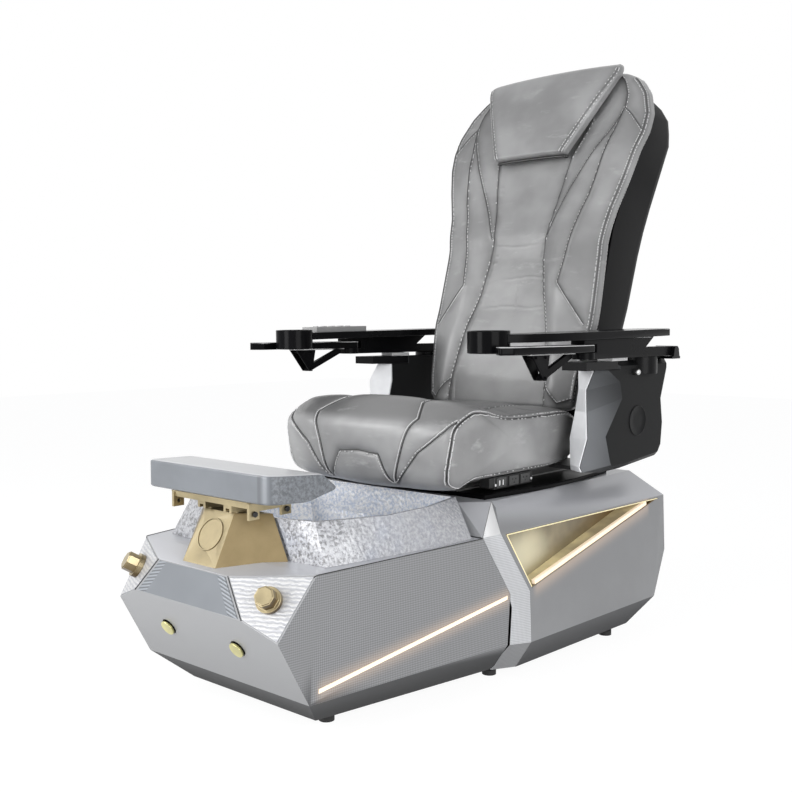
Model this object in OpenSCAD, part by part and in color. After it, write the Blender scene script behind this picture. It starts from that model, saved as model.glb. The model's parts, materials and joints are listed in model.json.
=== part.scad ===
// Pedicure spa chair: a faceted foot-bath base that carries a sliding, reclining massage seat.
// Millimetres. +Z is up, the chair faces -Y, X = 0 is the plane of symmetry.
// The origin lies on the floor under the middle of the chair's box.

/* [Base shell] */
// Distance from the base's front edge to the origin
front_reach = 746; // [740:1:752]
// Length of the base from its front edge to its rear face
base_len = 1266; // [1220:1:1300]
// Wall of the moulded shells
shell_t = 5; // [4:0.5:7]
// Height of the shells' flat bottom above the floor
bottom_z = 21; // [16:1:30]
// Height of the lower edge of the side faces
low_z = 86; // [76:1:100]
// Height of the front ridge
ridge_z = 250; // [244:1:254]
// Half length of the front ridge
ridge_half = 165; // [160:1:172]
// How far the front face moves back per unit of drop
front_rake = 0.556; // [0.5:0.01:0.62]
// Half width of the base at its lower front corner
low_half = 247; // [240:1:254]
// How far the chin under the front face sits back from the front edge
chin_back = 164; // [150:1:175]
// Half width of the chin
chin_half = 189; // [170:1:200]
// Half length of the top edge of the slanted front panel
panel_top_half = 107; // [100:1:112]
// Setback of that top edge from the front edge
panel_top_back = 18; // [14:1:24]
// Height of that top edge
panel_top_z = 320; // [316:1:324]
// Height of the rim at its front corner
rim_z = 332; // [328:1:336]
// Setback of the rim's front corner from the front edge
rim_back = 99; // [92:1:106]
// Rise of the rim per unit of length towards the rear
rim_rise = 0.014; // [0:0.002:0.03]
// Widening of the front section per unit of length
side_flare = 0.138; // [0.12:0.002:0.15]
// Outward lean of the front section's sides per unit of height
side_lean = 0.055; // [0.04:0.005:0.07]
// Inset of the bottom edge from the side's lower edge
bottom_inset = 42; // [34:1:50]

/* [Middle band] */
// Distance from the front edge to the band
band_back = 624; // [600:1:640]
// Width of the band
band_w = 52; // [46:1:60]
// Height at which the band bends forward
band_bend_z = 200; // [190:1:215]
// Forward lean of the band's upper part per unit of height
band_lean = 0.69; // [0.6:0.01:0.75]

/* [Rear section] */
// Half width of the rear section at its front lower corner
rear_half = 348; // [344:1:354]
// Widening of the rear section per unit of length
rear_flare = 0.053; // [0.04:0.001:0.06]
// Inward lean of its sides per unit of height
rear_lean = 0.04; // [0.03:0.005:0.06]
// Height of the shoulder edge under the top facets
shoulder_z = 343; // [338:1:350]
// Height of the flat deck
deck_z = 400; // [392:1:406]
// Half width of the flat deck
deck_half = 277; // [270:1:284]
// Setback of the deck's rear edge from the rear face
deck_back = 15; // [8:1:25]
// Setback of the rear face's lower edge
rear_low_back = 58; // [45:1:70]
// Setback of the rear bottom edge
rear_bottom_back = 127; // [110:1:140]
// Depth of the side recesses
recess_depth = 24; // [18:1:30]
// Wall of the recess liners
liner_t = 2; // [1.5:0.5:3]

/* [Basin] */
// Height of the basin's rim above the floor
basin_rim_z = 412; // [408:1:416]
// Height of the basin's floor inside
basin_floor_z = 134; // [128:1:150]
// Wall of the basin
basin_t = 6; // [5:0.5:8]
// Half width of the basin at its rim
basin_half = 254; // [248:1:258]
// Half width of the basin's floor
basin_floor_half = 165; // [150:1:180]
// Radius of the drain's flange
drain_r = 36; // [30:1:42]
// Radius of the drain stopper's cap
stopper_r = 27; // [22:1:29]
// Height that the stopper lifts
stopper_lift = 12; // [8:1:14]
// Radius of the jet's housing
jet_r = 52; // [46:1:60]

/* [Controls] */
// Radius of a knob's round skirt
knob_r = 25; // [22:1:28]
// Height of a knob
knob_h = 36; // [30:1:42]
// Radius of a knob's shaft
knob_shaft_r = 5; // [4:0.5:6]
// Radius of a push button
button_r = 17; // [14:1:20]
// Travel of a push button
button_travel = 4; // [3:0.5:5]
// Distance between the two push buttons
button_spread = 214; // [200:1:230]
// Height of the push buttons
button_z = 177; // [165:1:190]

/* [Foot rest] */
// Height of the top of the foot rest
pad_top_z = 511; // [506:1:516]
// Thickness of the foot rest
pad_t = 57; // [50:1:62]
// Half width of its front edge
pad_front_half = 182; // [165:1:190]
// Half width of its rear edge
pad_rear_half = 206; // [190:1:215]
// Depth of the foot rest from front to rear
pad_depth = 112; // [105:1:130]
// Setback of the foot rest from the base's front edge
pad_back = 54; // [46:1:60]
// Height of the pedestal's head
pedestal_top_z = 421; // [417:1:424]

/* [Seat] */
// Height of the underside of the seat cushion
seat_z = 444; // [442:1:450]
// Height of the seat cushion's top at its rear half
seat_top_z = 588; // [578:1:598]
// Rise of the cushion's front roll above that
seat_roll = 32; // [22:1:38]
// Half width of the seat cushion
seat_half = 258; // [250:1:262]
// Y of the cushion's front
seat_front_y = -260; // [-270:1:-250]
// Y of the cushion's rear end
seat_rear_y = 262; // [240:1:264]
// Thickness of the black deck plate
plate_t = 10; // [8:1:12]
// Distance of the slide rails from the middle
rail_x = 160; // [140:1:170]
// Forward travel of the seat
seat_travel = 100; // [80:5:100]

/* [Back] */
// Y of the recline pivot
pivot_y = 300; // [296:1:306]
// Height of the recline pivot
pivot_z = 500; // [496:1:506]
// Radius of the recline pins
pin_r = 8; // [6:0.5:10]
// Thickness of the back cushion
back_t = 60; // [54:1:64]
// Wall of the back's rear shell
back_shell_t = 4; // [3:0.5:5]
// Height of the top of the back cushion
back_top_z = 1478; // [1470:1:1486]
// Thickness of the headrest pillow
pillow_t = 28; // [22:1:34]

/* [Arms] */
// X of the arm box's inner face
box_x = 300; // [297:1:304]
// Width of the arm box
box_w = 62; // [56:1:66]
// Distance of the arm rail's centre line from the middle
arm_x = 370; // [366:1:374]
// Width of the arm rail
rail_w = 36; // [30:1:38]
// Height of the arm rail's underside
rail_z = 709; // [707:1:712]
// Depth of the arm rail
rail_h = 24; // [20:1:26]
// Y of the arm's rear hinge
arm_hinge_y = 520; // [512:1:528]
// Y of the side tray's pivot
tray_pivot_y = 100; // [90:1:110]
// Thickness of the arm's top plate
top_t = 18; // [14:1:20]
// Radius of the cup holder's rim
cup_r = 46; // [42:1:48]
// Radius of the cup holder's bore
cup_bore_r = 38; // [34:1:40]
// Depth of the cup holder
cup_depth = 36; // [28:1:40]
// Length of the side tray ahead of its pivot
tray_len = 345; // [320:1:350]

/* [Fits] */
// Radial clearance of shafts and pins in their bores
fit = 0.06; // [0.03:0.01:0.1]
// Clearance between neighbouring panels
gap = 0.3; // [0.2:0.05:0.5]

/* [Hidden] */
$fn = 48;

front_y = -front_reach;
rear_y = front_y + base_len;
band_y = front_y + band_back;
band_rear_y = band_y + band_w;
far = 900;

// ---- helpers -----------------------------------------------------------------------------
function flip(p) = [-p[0], p[1], p[2]];
function both(pts) = concat(pts, [for (p = pts) flip(p)]);
function mean(pts) = [for (k = [0:2]) sum([for (p = pts) p[k]]) / len(pts)];
function sum(v, i = 0) = i == len(v) ? 0 : v[i] + sum(v, i + 1);
function unit(v) = v / norm(v);
function facet_normal(a, b, c) = unit(cross(b - a, c - a));
function mix(a, b, t) = a + (b - a) * t;
function bell(d, w) = exp(-d * d / (w * w));

module hull_of(pts) {
  hull() polyhedron(points = pts, faces = [[for (i = [0:len(pts) - 1]) i]]);
}

// A solid between a facet's outline and the same outline moved along its normal.
module facet_plate(pts, normal, from, to, keep) {
  c = mean(pts);
  flat = [for (p = pts) c + (p - c) * keep];
  low = [for (p = flat) p + normal * from];
  high = [for (p = flat) p + normal * to];
  hull_of(concat(low, high));
}

// Extrudes a (Y, Z) outline along X, centred on x.
module across(x, w) {
  translate([x, 0, 0]) rotate([90, 0, 90]) linear_extrude(w, center = true) children();
}

// Extrudes a (Y, Z) outline between two X values, from the smaller to the larger.
module between_x(x0, x1) {
  across((x0 + x1) / 2, x1 - x0) children();
}

module on_both_sides() {
  children();
  mirror([1, 0, 0]) children();
}

// Turns +Z to the direction d.
module aim(d) {
  rotate([0, acos(d[2] / norm(d)), atan2(d[1], d[0])]) children();
}

module round_bar(p, q, r) {
  translate(p) aim(q - p) cylinder(h = norm(q - p), r = r);
}

module box(x0, x1, y0, y1, z0, z1) {
  translate([x0, y0, z0]) cube([x1 - x0, y1 - y0, z1 - z0]);
}

// A closed skin over a row of loops with equally many points. The loops run anticlockwise as seen
// from the last loop, and both ends are closed by fans.
module loft(loops) {
  m = len(loops);
  n = len(loops[0]);
  pts = concat([for (l = loops) each l], [mean(loops[0]), mean(loops[m - 1])]);
  sides = [for (i = [0:m - 2], j = [0:n - 1], k = [0, 1])
    let (a = i * n + j, b = i * n + (j + 1) % n)
    k == 0 ? [a, b + n, b] : [a, a + n, b + n]];
  first = [for (j = [0:n - 1]) [m * n, j, (j + 1) % n]];
  last = [for (j = [0:n - 1]) [m * n + 1, (m - 1) * n + (j + 1) % n, (m - 1) * n + j]];
  polyhedron(points = pts, faces = concat(sides, first, last));
}

// ---- planes of the base ------------------------------------------------------------------
low_y = front_y + front_rake * (ridge_z - low_z);
rim_y = front_y + rim_back;
function side_x(y, z) = low_half + side_flare * (y - low_y) + side_lean * (z - low_z);
function rear_x(y, z) = rear_half + rear_flare * (y - band_rear_y) - rear_lean * (z - low_z);
function rim_at(y) = rim_z + rim_rise * (y - rim_y);
function face_y(z) = front_y + front_rake * (ridge_z - z);
function band_front(z) = band_y - band_lean * max(0, z - band_bend_z);

panel_corner = [panel_top_half, front_y + panel_top_back, panel_top_z];
ridge_corner = [ridge_half, front_y, ridge_z];
rim_corner = [side_x(rim_y, rim_z), rim_y, rim_z];
corner_normal = facet_normal(panel_corner, ridge_corner, rim_corner);
// The corner facet meets the edge of front and side faces at this height.
edge_0 = [side_x(face_y(0), 0), face_y(0), 0];
edge_1 = [side_x(face_y(1), 1), face_y(1), 1] - edge_0;
knee_z = corner_normal * (panel_corner - edge_0) / (corner_normal * edge_1);
knee_corner = edge_0 + edge_1 * knee_z;
corner_facet = [panel_corner, ridge_corner, knee_corner, rim_corner];
front_facet = [panel_corner, ridge_corner, flip(ridge_corner), flip(panel_corner)];
front_facet_normal = facet_normal(panel_corner, flip(panel_corner), ridge_corner);
face_normal = unit([0, -1, -front_rake]);

// Corner points of the front section, moved in by e, with its bottom at floor_z.
function front_points(e, floor_z) =
  let (end_y = band_rear_y + 60)
  both([
    panel_corner - [e, -e, e],
    ridge_corner - [e, -1.2 * e, 0.3 * e],
    knee_corner - [e, -1.2 * e, 0],
    [side_x(low_y, low_z) - e, low_y + 1.2 * e, low_z],
    [chin_half - e, front_y + chin_back + e, floor_z],
    rim_corner - [e, -e, e],
    [side_x(end_y, rim_at(end_y)) - e, end_y, rim_at(end_y) - e],
    [side_x(end_y, low_z) - e, end_y, low_z],
    [side_x(end_y, low_z) - bottom_inset - e, end_y, floor_z]
  ]);

// Corner points of the rear section, moved in by e, with its bottom at floor_z.
function rear_points(e, floor_z) =
  let (start_y = band_y - 160, low_end = rear_y - rear_low_back, deck_end = rear_y - deck_back)
  both([
    [rear_x(start_y, low_z) - e, start_y, low_z],
    [rear_x(start_y, shoulder_z) - e, start_y, shoulder_z],
    [rear_x(start_y, low_z) - bottom_inset - e, start_y, floor_z],
    [deck_half - e, start_y, deck_z - e],
    [rear_x(low_end, low_z) - e, low_end - e, low_z],
    [rear_x(rear_y, band_bend_z) - e, rear_y - e, band_bend_z],
    [rear_x(rear_y, shoulder_z) - e, rear_y - e, shoulder_z],
    [deck_half - e, deck_end - e, deck_z - e],
    [rear_x(low_end, low_z) - bottom_inset - e, rear_y - rear_bottom_back - e, floor_z]
  ]);

// (Y, Z) outlines on either side of the band.
band_top_z = rim_at(band_y);
front_region = [
  [front_y - 50, 0], [band_y, 0], [band_y, band_bend_z],
  [band_front(far), far], [front_y - 50, far]
];
deck_front_y = band_front(shoulder_z) + band_w + 43;
rear_region = [
  [rear_y + 50, 0], [band_rear_y, 0], [band_rear_y, band_bend_z],
  [band_front(shoulder_z) + band_w, shoulder_z], [deck_front_y, deck_z], [rear_y + 50, deck_z + 50]
];

// ---- frame and feet ----------------------------------------------------------------------
tube = 30;
frame_z = bottom_z + shell_t;
frame_x = 130;
cross_front_y = front_y + chin_back + 56;
cross_mid_y = (band_y + band_rear_y) / 2;
cross_rear_y = rear_y - 185;
cross_y = [cross_front_y, cross_mid_y, cross_rear_y];
foot_half = [
  chin_half - 26,
  side_x(cross_mid_y, low_z) - bottom_inset - 30,
  rear_x(cross_rear_y, low_z) - bottom_inset - 22
];
cross_half = [for (x = foot_half) x + 10];
post_top_z = deck_z - shell_t;
post_x = 200;
post_y = [band_rear_y + 120, cross_rear_y];

module base_frame() {
  color("dimgray") {
    on_both_sides() box(frame_x - tube / 2, frame_x + tube / 2,
                        cross_front_y + tube / 2, cross_rear_y - tube / 2, frame_z, frame_z + tube);
    for (i = [0:2])
      box(-cross_half[i], cross_half[i], cross_y[i] - tube / 2, cross_y[i] + tube / 2,
          frame_z, frame_z + tube);
    box(-post_x - tube / 2, post_x + tube / 2, post_y[0] - tube / 2, post_y[0] + tube / 2,
        frame_z, frame_z + tube);
    on_both_sides() for (y = post_y)
      box(post_x - tube / 2, post_x + tube / 2, y - tube / 2, y + tube / 2,
          frame_z + tube, post_top_z);
  }
}

foot_r = 16;
foot_h = 12;
stud_r = 6;

module levelling_feet() {
  color("black") on_both_sides() for (i = [0:2])
    translate([foot_half[i], cross_y[i], 0]) {
      cylinder(h = foot_h, r = foot_r);
      cylinder(h = frame_z, r = stud_r);
      translate([0, 0, foot_h]) cylinder(h = 5, r = 9, $fn = 6);
    }
}

module foot_holes() {
  on_both_sides() for (i = [0:2])
    translate([foot_half[i], cross_y[i], bottom_z - 1]) cylinder(h = shell_t + 2, r = 11);
}

// ---- shells of the base ------------------------------------------------------------------
deck_margin = 12;
function deck_open() = concat(
  [for (i = [0:3]) basin_skirt[i] + [-deck_margin, i < 2 ? deck_margin : 0]],
  [[basin_skirt[3][0] - deck_margin, band_rear_y]]
);

function mirrored_outline(half) =
  concat(half, [for (i = [len(half) - 1:-1:0]) if (half[i][0] > 0) [-half[i][0], half[i][1]]]);

light_h = 8;
light_low_z = low_z + 19;
light_start = 112;

module side_light_bar(grow) {
  y0 = front_y + light_start;
  y1 = band_y - 10;
  z1 = band_bend_z - 1;
  on_both_sides() between_x(low_half - 60, far) polygon([
    [y0 - grow, light_low_z - grow], [y1 + grow, z1 - light_h - grow],
    [y1 + grow, z1 + grow], [y0 - grow, light_low_z + light_h + grow]
  ]);
}

button_x = button_spread / 2;
button_seat = [button_x, face_y(button_z), button_z];

module at_buttons() {
  on_both_sides() translate(button_seat) aim(face_normal) children();
}

knob_seat = mix(mean(corner_facet), rim_corner, 0.09);
// The shell's wall under the corner facet, where its inner corners are moved in unevenly.
corner_wall = shell_t * max([for (v = [[1, -1, 1], [1, -1.2, 0.3], [1, -1.2, 0]]) corner_normal * v]);

module at_knobs() {
  on_both_sides() translate(knob_seat) aim(corner_normal) children();
}

module front_shell() {
  color("silver") difference() {
    intersection() {
      hull_of(front_points(0, bottom_z));
      across(0, 2 * far) polygon(front_region);
    }
    hull_of(front_points(shell_t, bottom_z + shell_t));
    translate([0, 0, rim_z - 60]) linear_extrude(200) polygon(mirrored_outline(deck_open()));
    side_light_bar(gap);
    at_buttons() translate([0, 0, -30]) cylinder(h = 60, r = button_r + 1);
    at_knobs() translate([0, 0, -30]) cylinder(h = 60, r = knob_shaft_r + 3);
    foot_holes();
  }
}

// Edges of the band at height z, and the corners of the triangle in which it ends under the seat.
function band_edge_front(z, e) = [side_x(band_front(z), z) - e, band_front(z) + gap, z];
function band_edge_rear(z, e) = [rear_x(band_front(z) + band_w, z) - e, band_front(z) + band_w - gap, z];
apex = [deck_half, deck_front_y - gap, deck_z];
tip = [band_edge_front(band_top_z, 0), band_edge_rear(shoulder_z, 0), apex];
tip_in = unit([-0.19, 0.47, -0.86]) * shell_t;

// Lower loop of the band, moved in by e and widened by w along Y.
function band_loop(e, w) =
  let (f = [0, -w, 0], r = [0, w, 0], inset = [bottom_inset, 0, low_z - bottom_z - e])
  both([
    band_edge_front(band_bend_z, e) + f, band_edge_rear(band_bend_z, e) + r,
    band_edge_front(low_z, e) + f, band_edge_rear(low_z, e) + r,
    band_edge_front(low_z, e) + f - inset, band_edge_rear(low_z, e) + r - inset
  ]);

module middle_band() {
  wall = [
    band_edge_front(band_bend_z, 0), band_edge_rear(band_bend_z, 0), tip[0], tip[1]
  ];
  color("gray") {
    difference() {
      hull_of(band_loop(0, 0));
      hull_of(concat(band_loop(shell_t, 20), [for (p = band_loop(shell_t, 20)) if (p[2] > low_z + 1) p + [0, 0, 1]]));
      foot_holes();
    }
    on_both_sides() {
      hull_of(concat(wall, [for (p = wall) p - [shell_t, 0, 0]]));
      difference() {
        hull_of(concat(tip, [for (p = tip) p + tip_in]));
        translate([0, -gap, 0]) across(0, 2 * far) polygon(rear_region);
      }
    }
  }
}

// The bridge closes the deck between the basin and the seat's platform.
module deck_bridge() {
  edge = [
    tip[0] + [0, -gap / 2, gap], tip[2] + [0, -gap / 2, gap],
    [basin_top[5][0] + 4, basin_rear_y + 3, deck_z], [basin_skirt[4][0] + 4, basin_rear_y + 3, band_top_z + gap]
  ];
  color("silver") difference() {
    hull_of(both(edge));
    hull_of(both([for (p = edge) p + [-2, shell_t, -shell_t]]));
    hull_of(both(concat(on_rim(inset(basin_skirt, -gap)), at_z(inset(basin_top, -gap), basin_rim_z + gap))));
    hull_of(both(concat(on_rim(inset(basin_skirt, -gap)), at_z(basin_skirt, 0))));
  }
}

// (Y, Z) corners of the triangular side recess.
recess_low = [band_rear_y + 8, band_bend_z + 6];
recess_front = [band_front(shoulder_z) + band_w + 16, shoulder_z - 4];
recess_rear = [rear_y - 24, shoulder_z - 4];
recess = [recess_low, recess_rear, recess_front];
recess_x = rear_half - recess_depth - 12;

// Moves the sides of a triangle in by d.
function shrink(tri, d) =
  let (
    a = norm(tri[1] - tri[2]), b = norm(tri[2] - tri[0]), c = norm(tri[0] - tri[1]),
    centre = (a * tri[0] + b * tri[1] + c * tri[2]) / (a + b + c),
    half = (a + b + c) / 2, radius = sqrt((half - a) * (half - b) * (half - c) / half)
  )
  [for (p = tri) centre + (p - centre) * (1 - d / radius)];

module rear_shell() {
  color("silver") difference() {
    intersection() {
      hull_of(rear_points(0, bottom_z));
      across(0, 2 * far) polygon(rear_region);
    }
    hull_of(concat(rear_points(shell_t, bottom_z + shell_t),
                   [for (p = rear_points(shell_t, bottom_z + shell_t)) if (p[1] < band_y) p - [0, 60, 0]]));
    on_both_sides() between_x(recess_x - 10, far) polygon(recess);
    box(-panel_half - gap, panel_half + gap, rear_y - 200, rear_y + 50, panel_z0 - gap, panel_z1 + gap);
    foot_holes();
  }
}

panel_half = 210;
panel_z0 = band_bend_z + 12;
panel_z1 = shoulder_z - 8;

module access_panel() {
  color("silver") {
    box(-panel_half, panel_half, rear_y - shell_t, rear_y, panel_z0, panel_z1);
    box(-panel_half - 12, panel_half + 12, rear_y, rear_y + 2, panel_z0 - 12, panel_z1 + 12);
  }
}

// ---- trim of the base --------------------------------------------------------------------
trim_t = 1.5;

module front_panel() {
  color("lightsteelblue")
    facet_plate(front_facet, front_facet_normal, 0.05, trim_t, 0.94);
}

module corner_plates() {
  color("gainsboro") on_both_sides() difference() {
    facet_plate(corner_facet, corner_normal, 0.05, trim_t, 0.94);
    translate(knob_seat) aim(corner_normal) translate([0, 0, -5]) cylinder(h = 20, r = knob_shaft_r + 3);
  }
}

module side_lights() {
  color("lightyellow") difference() {
    intersection() {
      hull_of(front_points(-0.8, bottom_z));
      side_light_bar(0);
    }
    hull_of(front_points(shell_t + 1, bottom_z + 5));
  }
}

module recess_liners() {
  color("goldenrod") on_both_sides() difference() {
    intersection() {
      hull_of(rear_points(0.4, bottom_z));
      between_x(recess_x, far) polygon(shrink(recess, gap));
    }
    between_x(recess_x + liner_t, far) polygon(shrink(recess, gap + liner_t));
  }
}

recess_light_w = 9;

// A light bar lies along the long lower edge of each recess.
module recess_lights() {
  tri = shrink(recess, gap + liner_t + gap);
  run = unit(tri[1] - tri[0]);
  up = [-run[1], run[0]];
  a = tri[0] + run * 12 + up * 0.1;
  b = tri[1] - run * 40 + up * 0.1;
  color("lightyellow") on_both_sides() intersection() {
    hull_of(rear_points(1, bottom_z));
    between_x(recess_x + liner_t + gap, far)
      polygon([a, b, b + up * recess_light_w, a + up * recess_light_w]);
  }
}

// ---- basin and plumbing ------------------------------------------------------------------
basin_front_y = front_y + 140;
basin_rear_y = band_front(band_top_z) + 32;
drain_y = mix(basin_front_y, basin_rear_y, 0.26);
jet_y = mix(basin_front_y, basin_rear_y, 0.68);

function at_z(outline, z) = [for (p = outline) [p[0], p[1], z]];
function on_rim(outline) = [for (p = outline) [p[0], p[1], rim_at(p[1]) + gap]];

basin_skirt = [
  [156, basin_front_y], [236, basin_front_y + 6], [basin_half + 44, basin_front_y + 270],
  [basin_half + 50, basin_rear_y - 48], [basin_half - 14, basin_rear_y]
];
basin_top = [
  [basin_half - 142, basin_front_y], [basin_half - 62, basin_front_y + 22],
  [basin_half - 30, basin_front_y + 87], [basin_half, basin_front_y + 161],
  [basin_half, basin_front_y + 295], [basin_half - 30, basin_rear_y]
];
basin_bowl = [
  [basin_half - 112, basin_front_y + 14], [basin_half - 40, basin_front_y + 24],
  [basin_half - 8, basin_front_y + 160], [basin_half - 8, basin_rear_y - 60],
  [basin_half - 34, basin_rear_y - 8]
];
basin_floor = [
  [basin_floor_half - 40, basin_front_y + 54], [basin_floor_half, basin_front_y + 90],
  [basin_floor_half, basin_rear_y - 90], [basin_floor_half - 40, basin_rear_y - 54]
];

function inset(outline, d) =
  [for (p = outline) [p[0] - d, p[1] + (p[1] < (basin_front_y + basin_rear_y) / 2 ? d : -d)]];

module basin() {
  rim_low = rim_z - 8;
  color("aliceblue") difference() {
    union() {
      hull_of(both(concat(on_rim(basin_skirt), at_z(basin_top, basin_rim_z))));
      hull_of(both(concat([for (p = basin_bowl) [p[0], p[1], rim_at(p[1]) + 6]],
                          at_z(basin_floor, basin_floor_z - basin_t))));
    }
    hull_of(both(concat(at_z(inset(basin_top, basin_t), basin_rim_z + 1),
                        at_z(inset(basin_bowl, basin_t), rim_low + 20))));
    hull_of(both(concat(at_z(inset(basin_bowl, basin_t), rim_low + 20.5),
                        at_z(inset(basin_floor, basin_t), basin_floor_z))));
    translate([0, drain_y, basin_floor_z - 20]) cylinder(h = 40, r = drain_neck_r + gap);
    translate([0, jet_y, basin_floor_z - 20]) cylinder(h = 40, r = jet_neck_r + gap);
  }
}

drain_neck_r = 22;
drain_neck_len = 34;
stem_r = 4;

module drain_flange() {
  color("gold") translate([0, drain_y, 0]) {
    difference() {
      union() {
        translate([0, 0, basin_floor_z]) cylinder(h = 3, r = drain_r);
        translate([0, 0, basin_floor_z - drain_neck_len]) cylinder(h = drain_neck_len, r = drain_neck_r);
      }
      translate([0, 0, basin_floor_z - drain_neck_len - 1]) cylinder(h = 60, r = drain_neck_r - 3);
    }
    difference() {
      translate([0, 0, basin_floor_z - 26]) cylinder(h = 6, r = drain_neck_r - 2.9);
      translate([0, 0, basin_floor_z - 27]) cylinder(h = 8, r = stem_r + fit);
      for (a = [0:60:300]) rotate(a) translate([12, 0, basin_floor_z - 27]) cylinder(h = 8, r = 4);
    }
  }
}

module drain_stopper() {
  color("gold") translate([0, drain_y, 0]) {
    translate([0, 0, basin_floor_z + 3 + gap]) cylinder(h = 5, r = stopper_r);
    translate([0, 0, basin_floor_z - 26 - stopper_lift]) cylinder(h = 26 + stopper_lift + 4, r = stem_r);
  }
}

jet_neck_r = 34;
jet_neck_len = 40;
impeller_z = basin_floor_z - 12;

module jet_housing() {
  color("whitesmoke") translate([0, jet_y, 0]) difference() {
    union() {
      translate([0, 0, basin_floor_z]) cylinder(h = 4, r = jet_r);
      translate([0, 0, basin_floor_z + 4]) cylinder(h = 10, r = jet_neck_r + 4);
      translate([0, 0, basin_floor_z - jet_neck_len]) cylinder(h = jet_neck_len, r = jet_neck_r);
    }
    translate([0, 0, basin_floor_z - jet_neck_len + 8]) cylinder(h = jet_neck_len + 2, r = jet_neck_r - 4);
    for (a = [0:45:315]) rotate(a) translate([20, 0, 0]) translate([0, 0, basin_floor_z])
      cylinder(h = 20, r = 4);
    translate([0, 0, basin_floor_z - jet_neck_len - 1]) cylinder(h = 12, r = stem_r + fit);
  }
}

module jet_impeller() {
  color("whitesmoke") translate([0, jet_y, 0]) {
    translate([0, 0, basin_floor_z - jet_neck_len - 6]) cylinder(h = jet_neck_len - 2, r = stem_r);
    translate([0, 0, impeller_z - 10]) cylinder(h = 12, r = 9);
    for (a = [0:72:288]) rotate(a) translate([8, -1.5, impeller_z - 10]) cube([18, 3, 12]);
  }
}

pump_z = frame_z + tube;

module drain_pump() {
  color("darkgreen") {
    round_bar([-70, drain_y + 90, pump_z + 24], [40, drain_y + 90, pump_z + 24], 24);
    box(-frame_x - 8, frame_x + 8, drain_y + 78, drain_y + 102, pump_z, pump_z + 8);
    translate([40, drain_y + 90, pump_z + 24]) rotate([0, 90, 0]) cylinder(h = 26, r = 18);
  }
}

module drain_pipe() {
  z = pump_z + 28;
  color("white") difference() {
    union() {
      translate([0, drain_y, z - 6]) cylinder(h = basin_floor_z - drain_neck_len - z + 6, r = drain_neck_r);
      round_bar([0, drain_y, z], [0, drain_y + 90 - 24.3, z], 10);
    }
    translate([0, drain_y, z]) cylinder(h = far, r = drain_neck_r - 4);
  }
}

module jet_motor() {
  color("dimgray") {
    box(-frame_x - 8, frame_x + 8, jet_y - 14, jet_y + 14, pump_z, pump_z + 4);
    translate([0, jet_y, pump_z + 4]) cylinder(h = basin_floor_z - jet_neck_len - 6.3 - pump_z - 4, r = 30);
  }
}

valve_len = 50;

module valve_bodies() {
  color("darkgoldenrod") at_knobs() difference() {
    union() {
      translate([0, 0, -corner_wall - valve_len - 2]) cylinder(h = valve_len, r = 16);
      translate([0, 0, -corner_wall - 2.5]) cylinder(h = 2, r = 20);
    }
    translate([0, 0, -corner_wall - 32]) cylinder(h = 40, r = knob_shaft_r + fit);
  }
}

module knob() {
  color("goldenrod") {
    translate([0, 0, trim_t + gap]) cylinder(h = knob_h * 0.3, r = knob_r);
    translate([0, 0, trim_t + gap]) cylinder(h = knob_h - 4, r = knob_r * 0.8, $fn = 8);
    translate([0, 0, knob_h - 4]) cylinder(h = 4, r = knob_r * 0.7, $fn = 8);
    translate([0, 0, -corner_wall - 28]) cylinder(h = corner_wall + 34, r = knob_shaft_r);
  }
}

module right_knob() translate(knob_seat) aim(corner_normal) knob();
module left_knob() mirror([1, 0, 0]) translate(knob_seat) aim(corner_normal) knob();

switch_gap = 12;

module push_button() {
  color("gold") {
    translate([0, 0, button_travel - 2]) cylinder(h = 5, r = button_r - gap);
    translate([0, 0, -shell_t - switch_gap - 8]) cylinder(h = shell_t + switch_gap + 12, r = 5);
  }
}

module right_button() translate(button_seat) aim(face_normal) push_button();
module left_button() mirror([1, 0, 0]) translate(button_seat) aim(face_normal) push_button();

module button_switches() {
  color("dimgray") at_buttons() difference() {
    union() {
      translate([0, 0, -shell_t - switch_gap - 26]) cylinder(h = 26, r = 14);
      difference() {
        translate([0, 0, -shell_t - switch_gap]) cylinder(h = switch_gap - 0.8, r = button_r + 5);
        translate([0, 0, -shell_t - switch_gap + 2]) cylinder(h = switch_gap, r = button_r + 2);
      }
    }
    translate([0, 0, -shell_t - switch_gap - 16]) cylinder(h = 30, r = 5 + fit);
  }
}

// ---- foot rest ---------------------------------------------------------------------------
deck_slope = (rim_z - panel_top_z) / (rim_back - panel_top_back);
function deck_at(y) = panel_top_z + deck_slope * (y - front_y - panel_top_back);
pedestal_front_y = front_y + 34;
pedestal_rear_y = basin_front_y - 6;
head_front_y = front_y + 87;

module pedestal() {
  color("goldenrod") difference() {
    hull_of(both([
      [50, pedestal_front_y, deck_at(pedestal_front_y) - 8], [146, pedestal_rear_y, rim_z - 8],
      [50, pedestal_front_y, deck_at(pedestal_front_y)], [146, pedestal_rear_y, rim_z + 2],
      [45, head_front_y, pedestal_top_z], [104, pedestal_rear_y, pedestal_top_z]
    ]));
    hull_of(front_points(-0.05, bottom_z));
    badge_hole();
  }
}

badge_r = 34;
pedestal_face = facet_normal([50, pedestal_front_y, deck_at(pedestal_front_y)],
                             [45, head_front_y, pedestal_top_z],
                             [-50, pedestal_front_y, deck_at(pedestal_front_y)]);
badge_seat = [0, mix(pedestal_front_y, head_front_y, 0.56),
              mix(deck_at(pedestal_front_y), pedestal_top_z, 0.56)];

module badge_hole() {
  translate(badge_seat) aim(pedestal_face) translate([0, 0, -2]) cylinder(h = 10, r = badge_r + gap);
}

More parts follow.
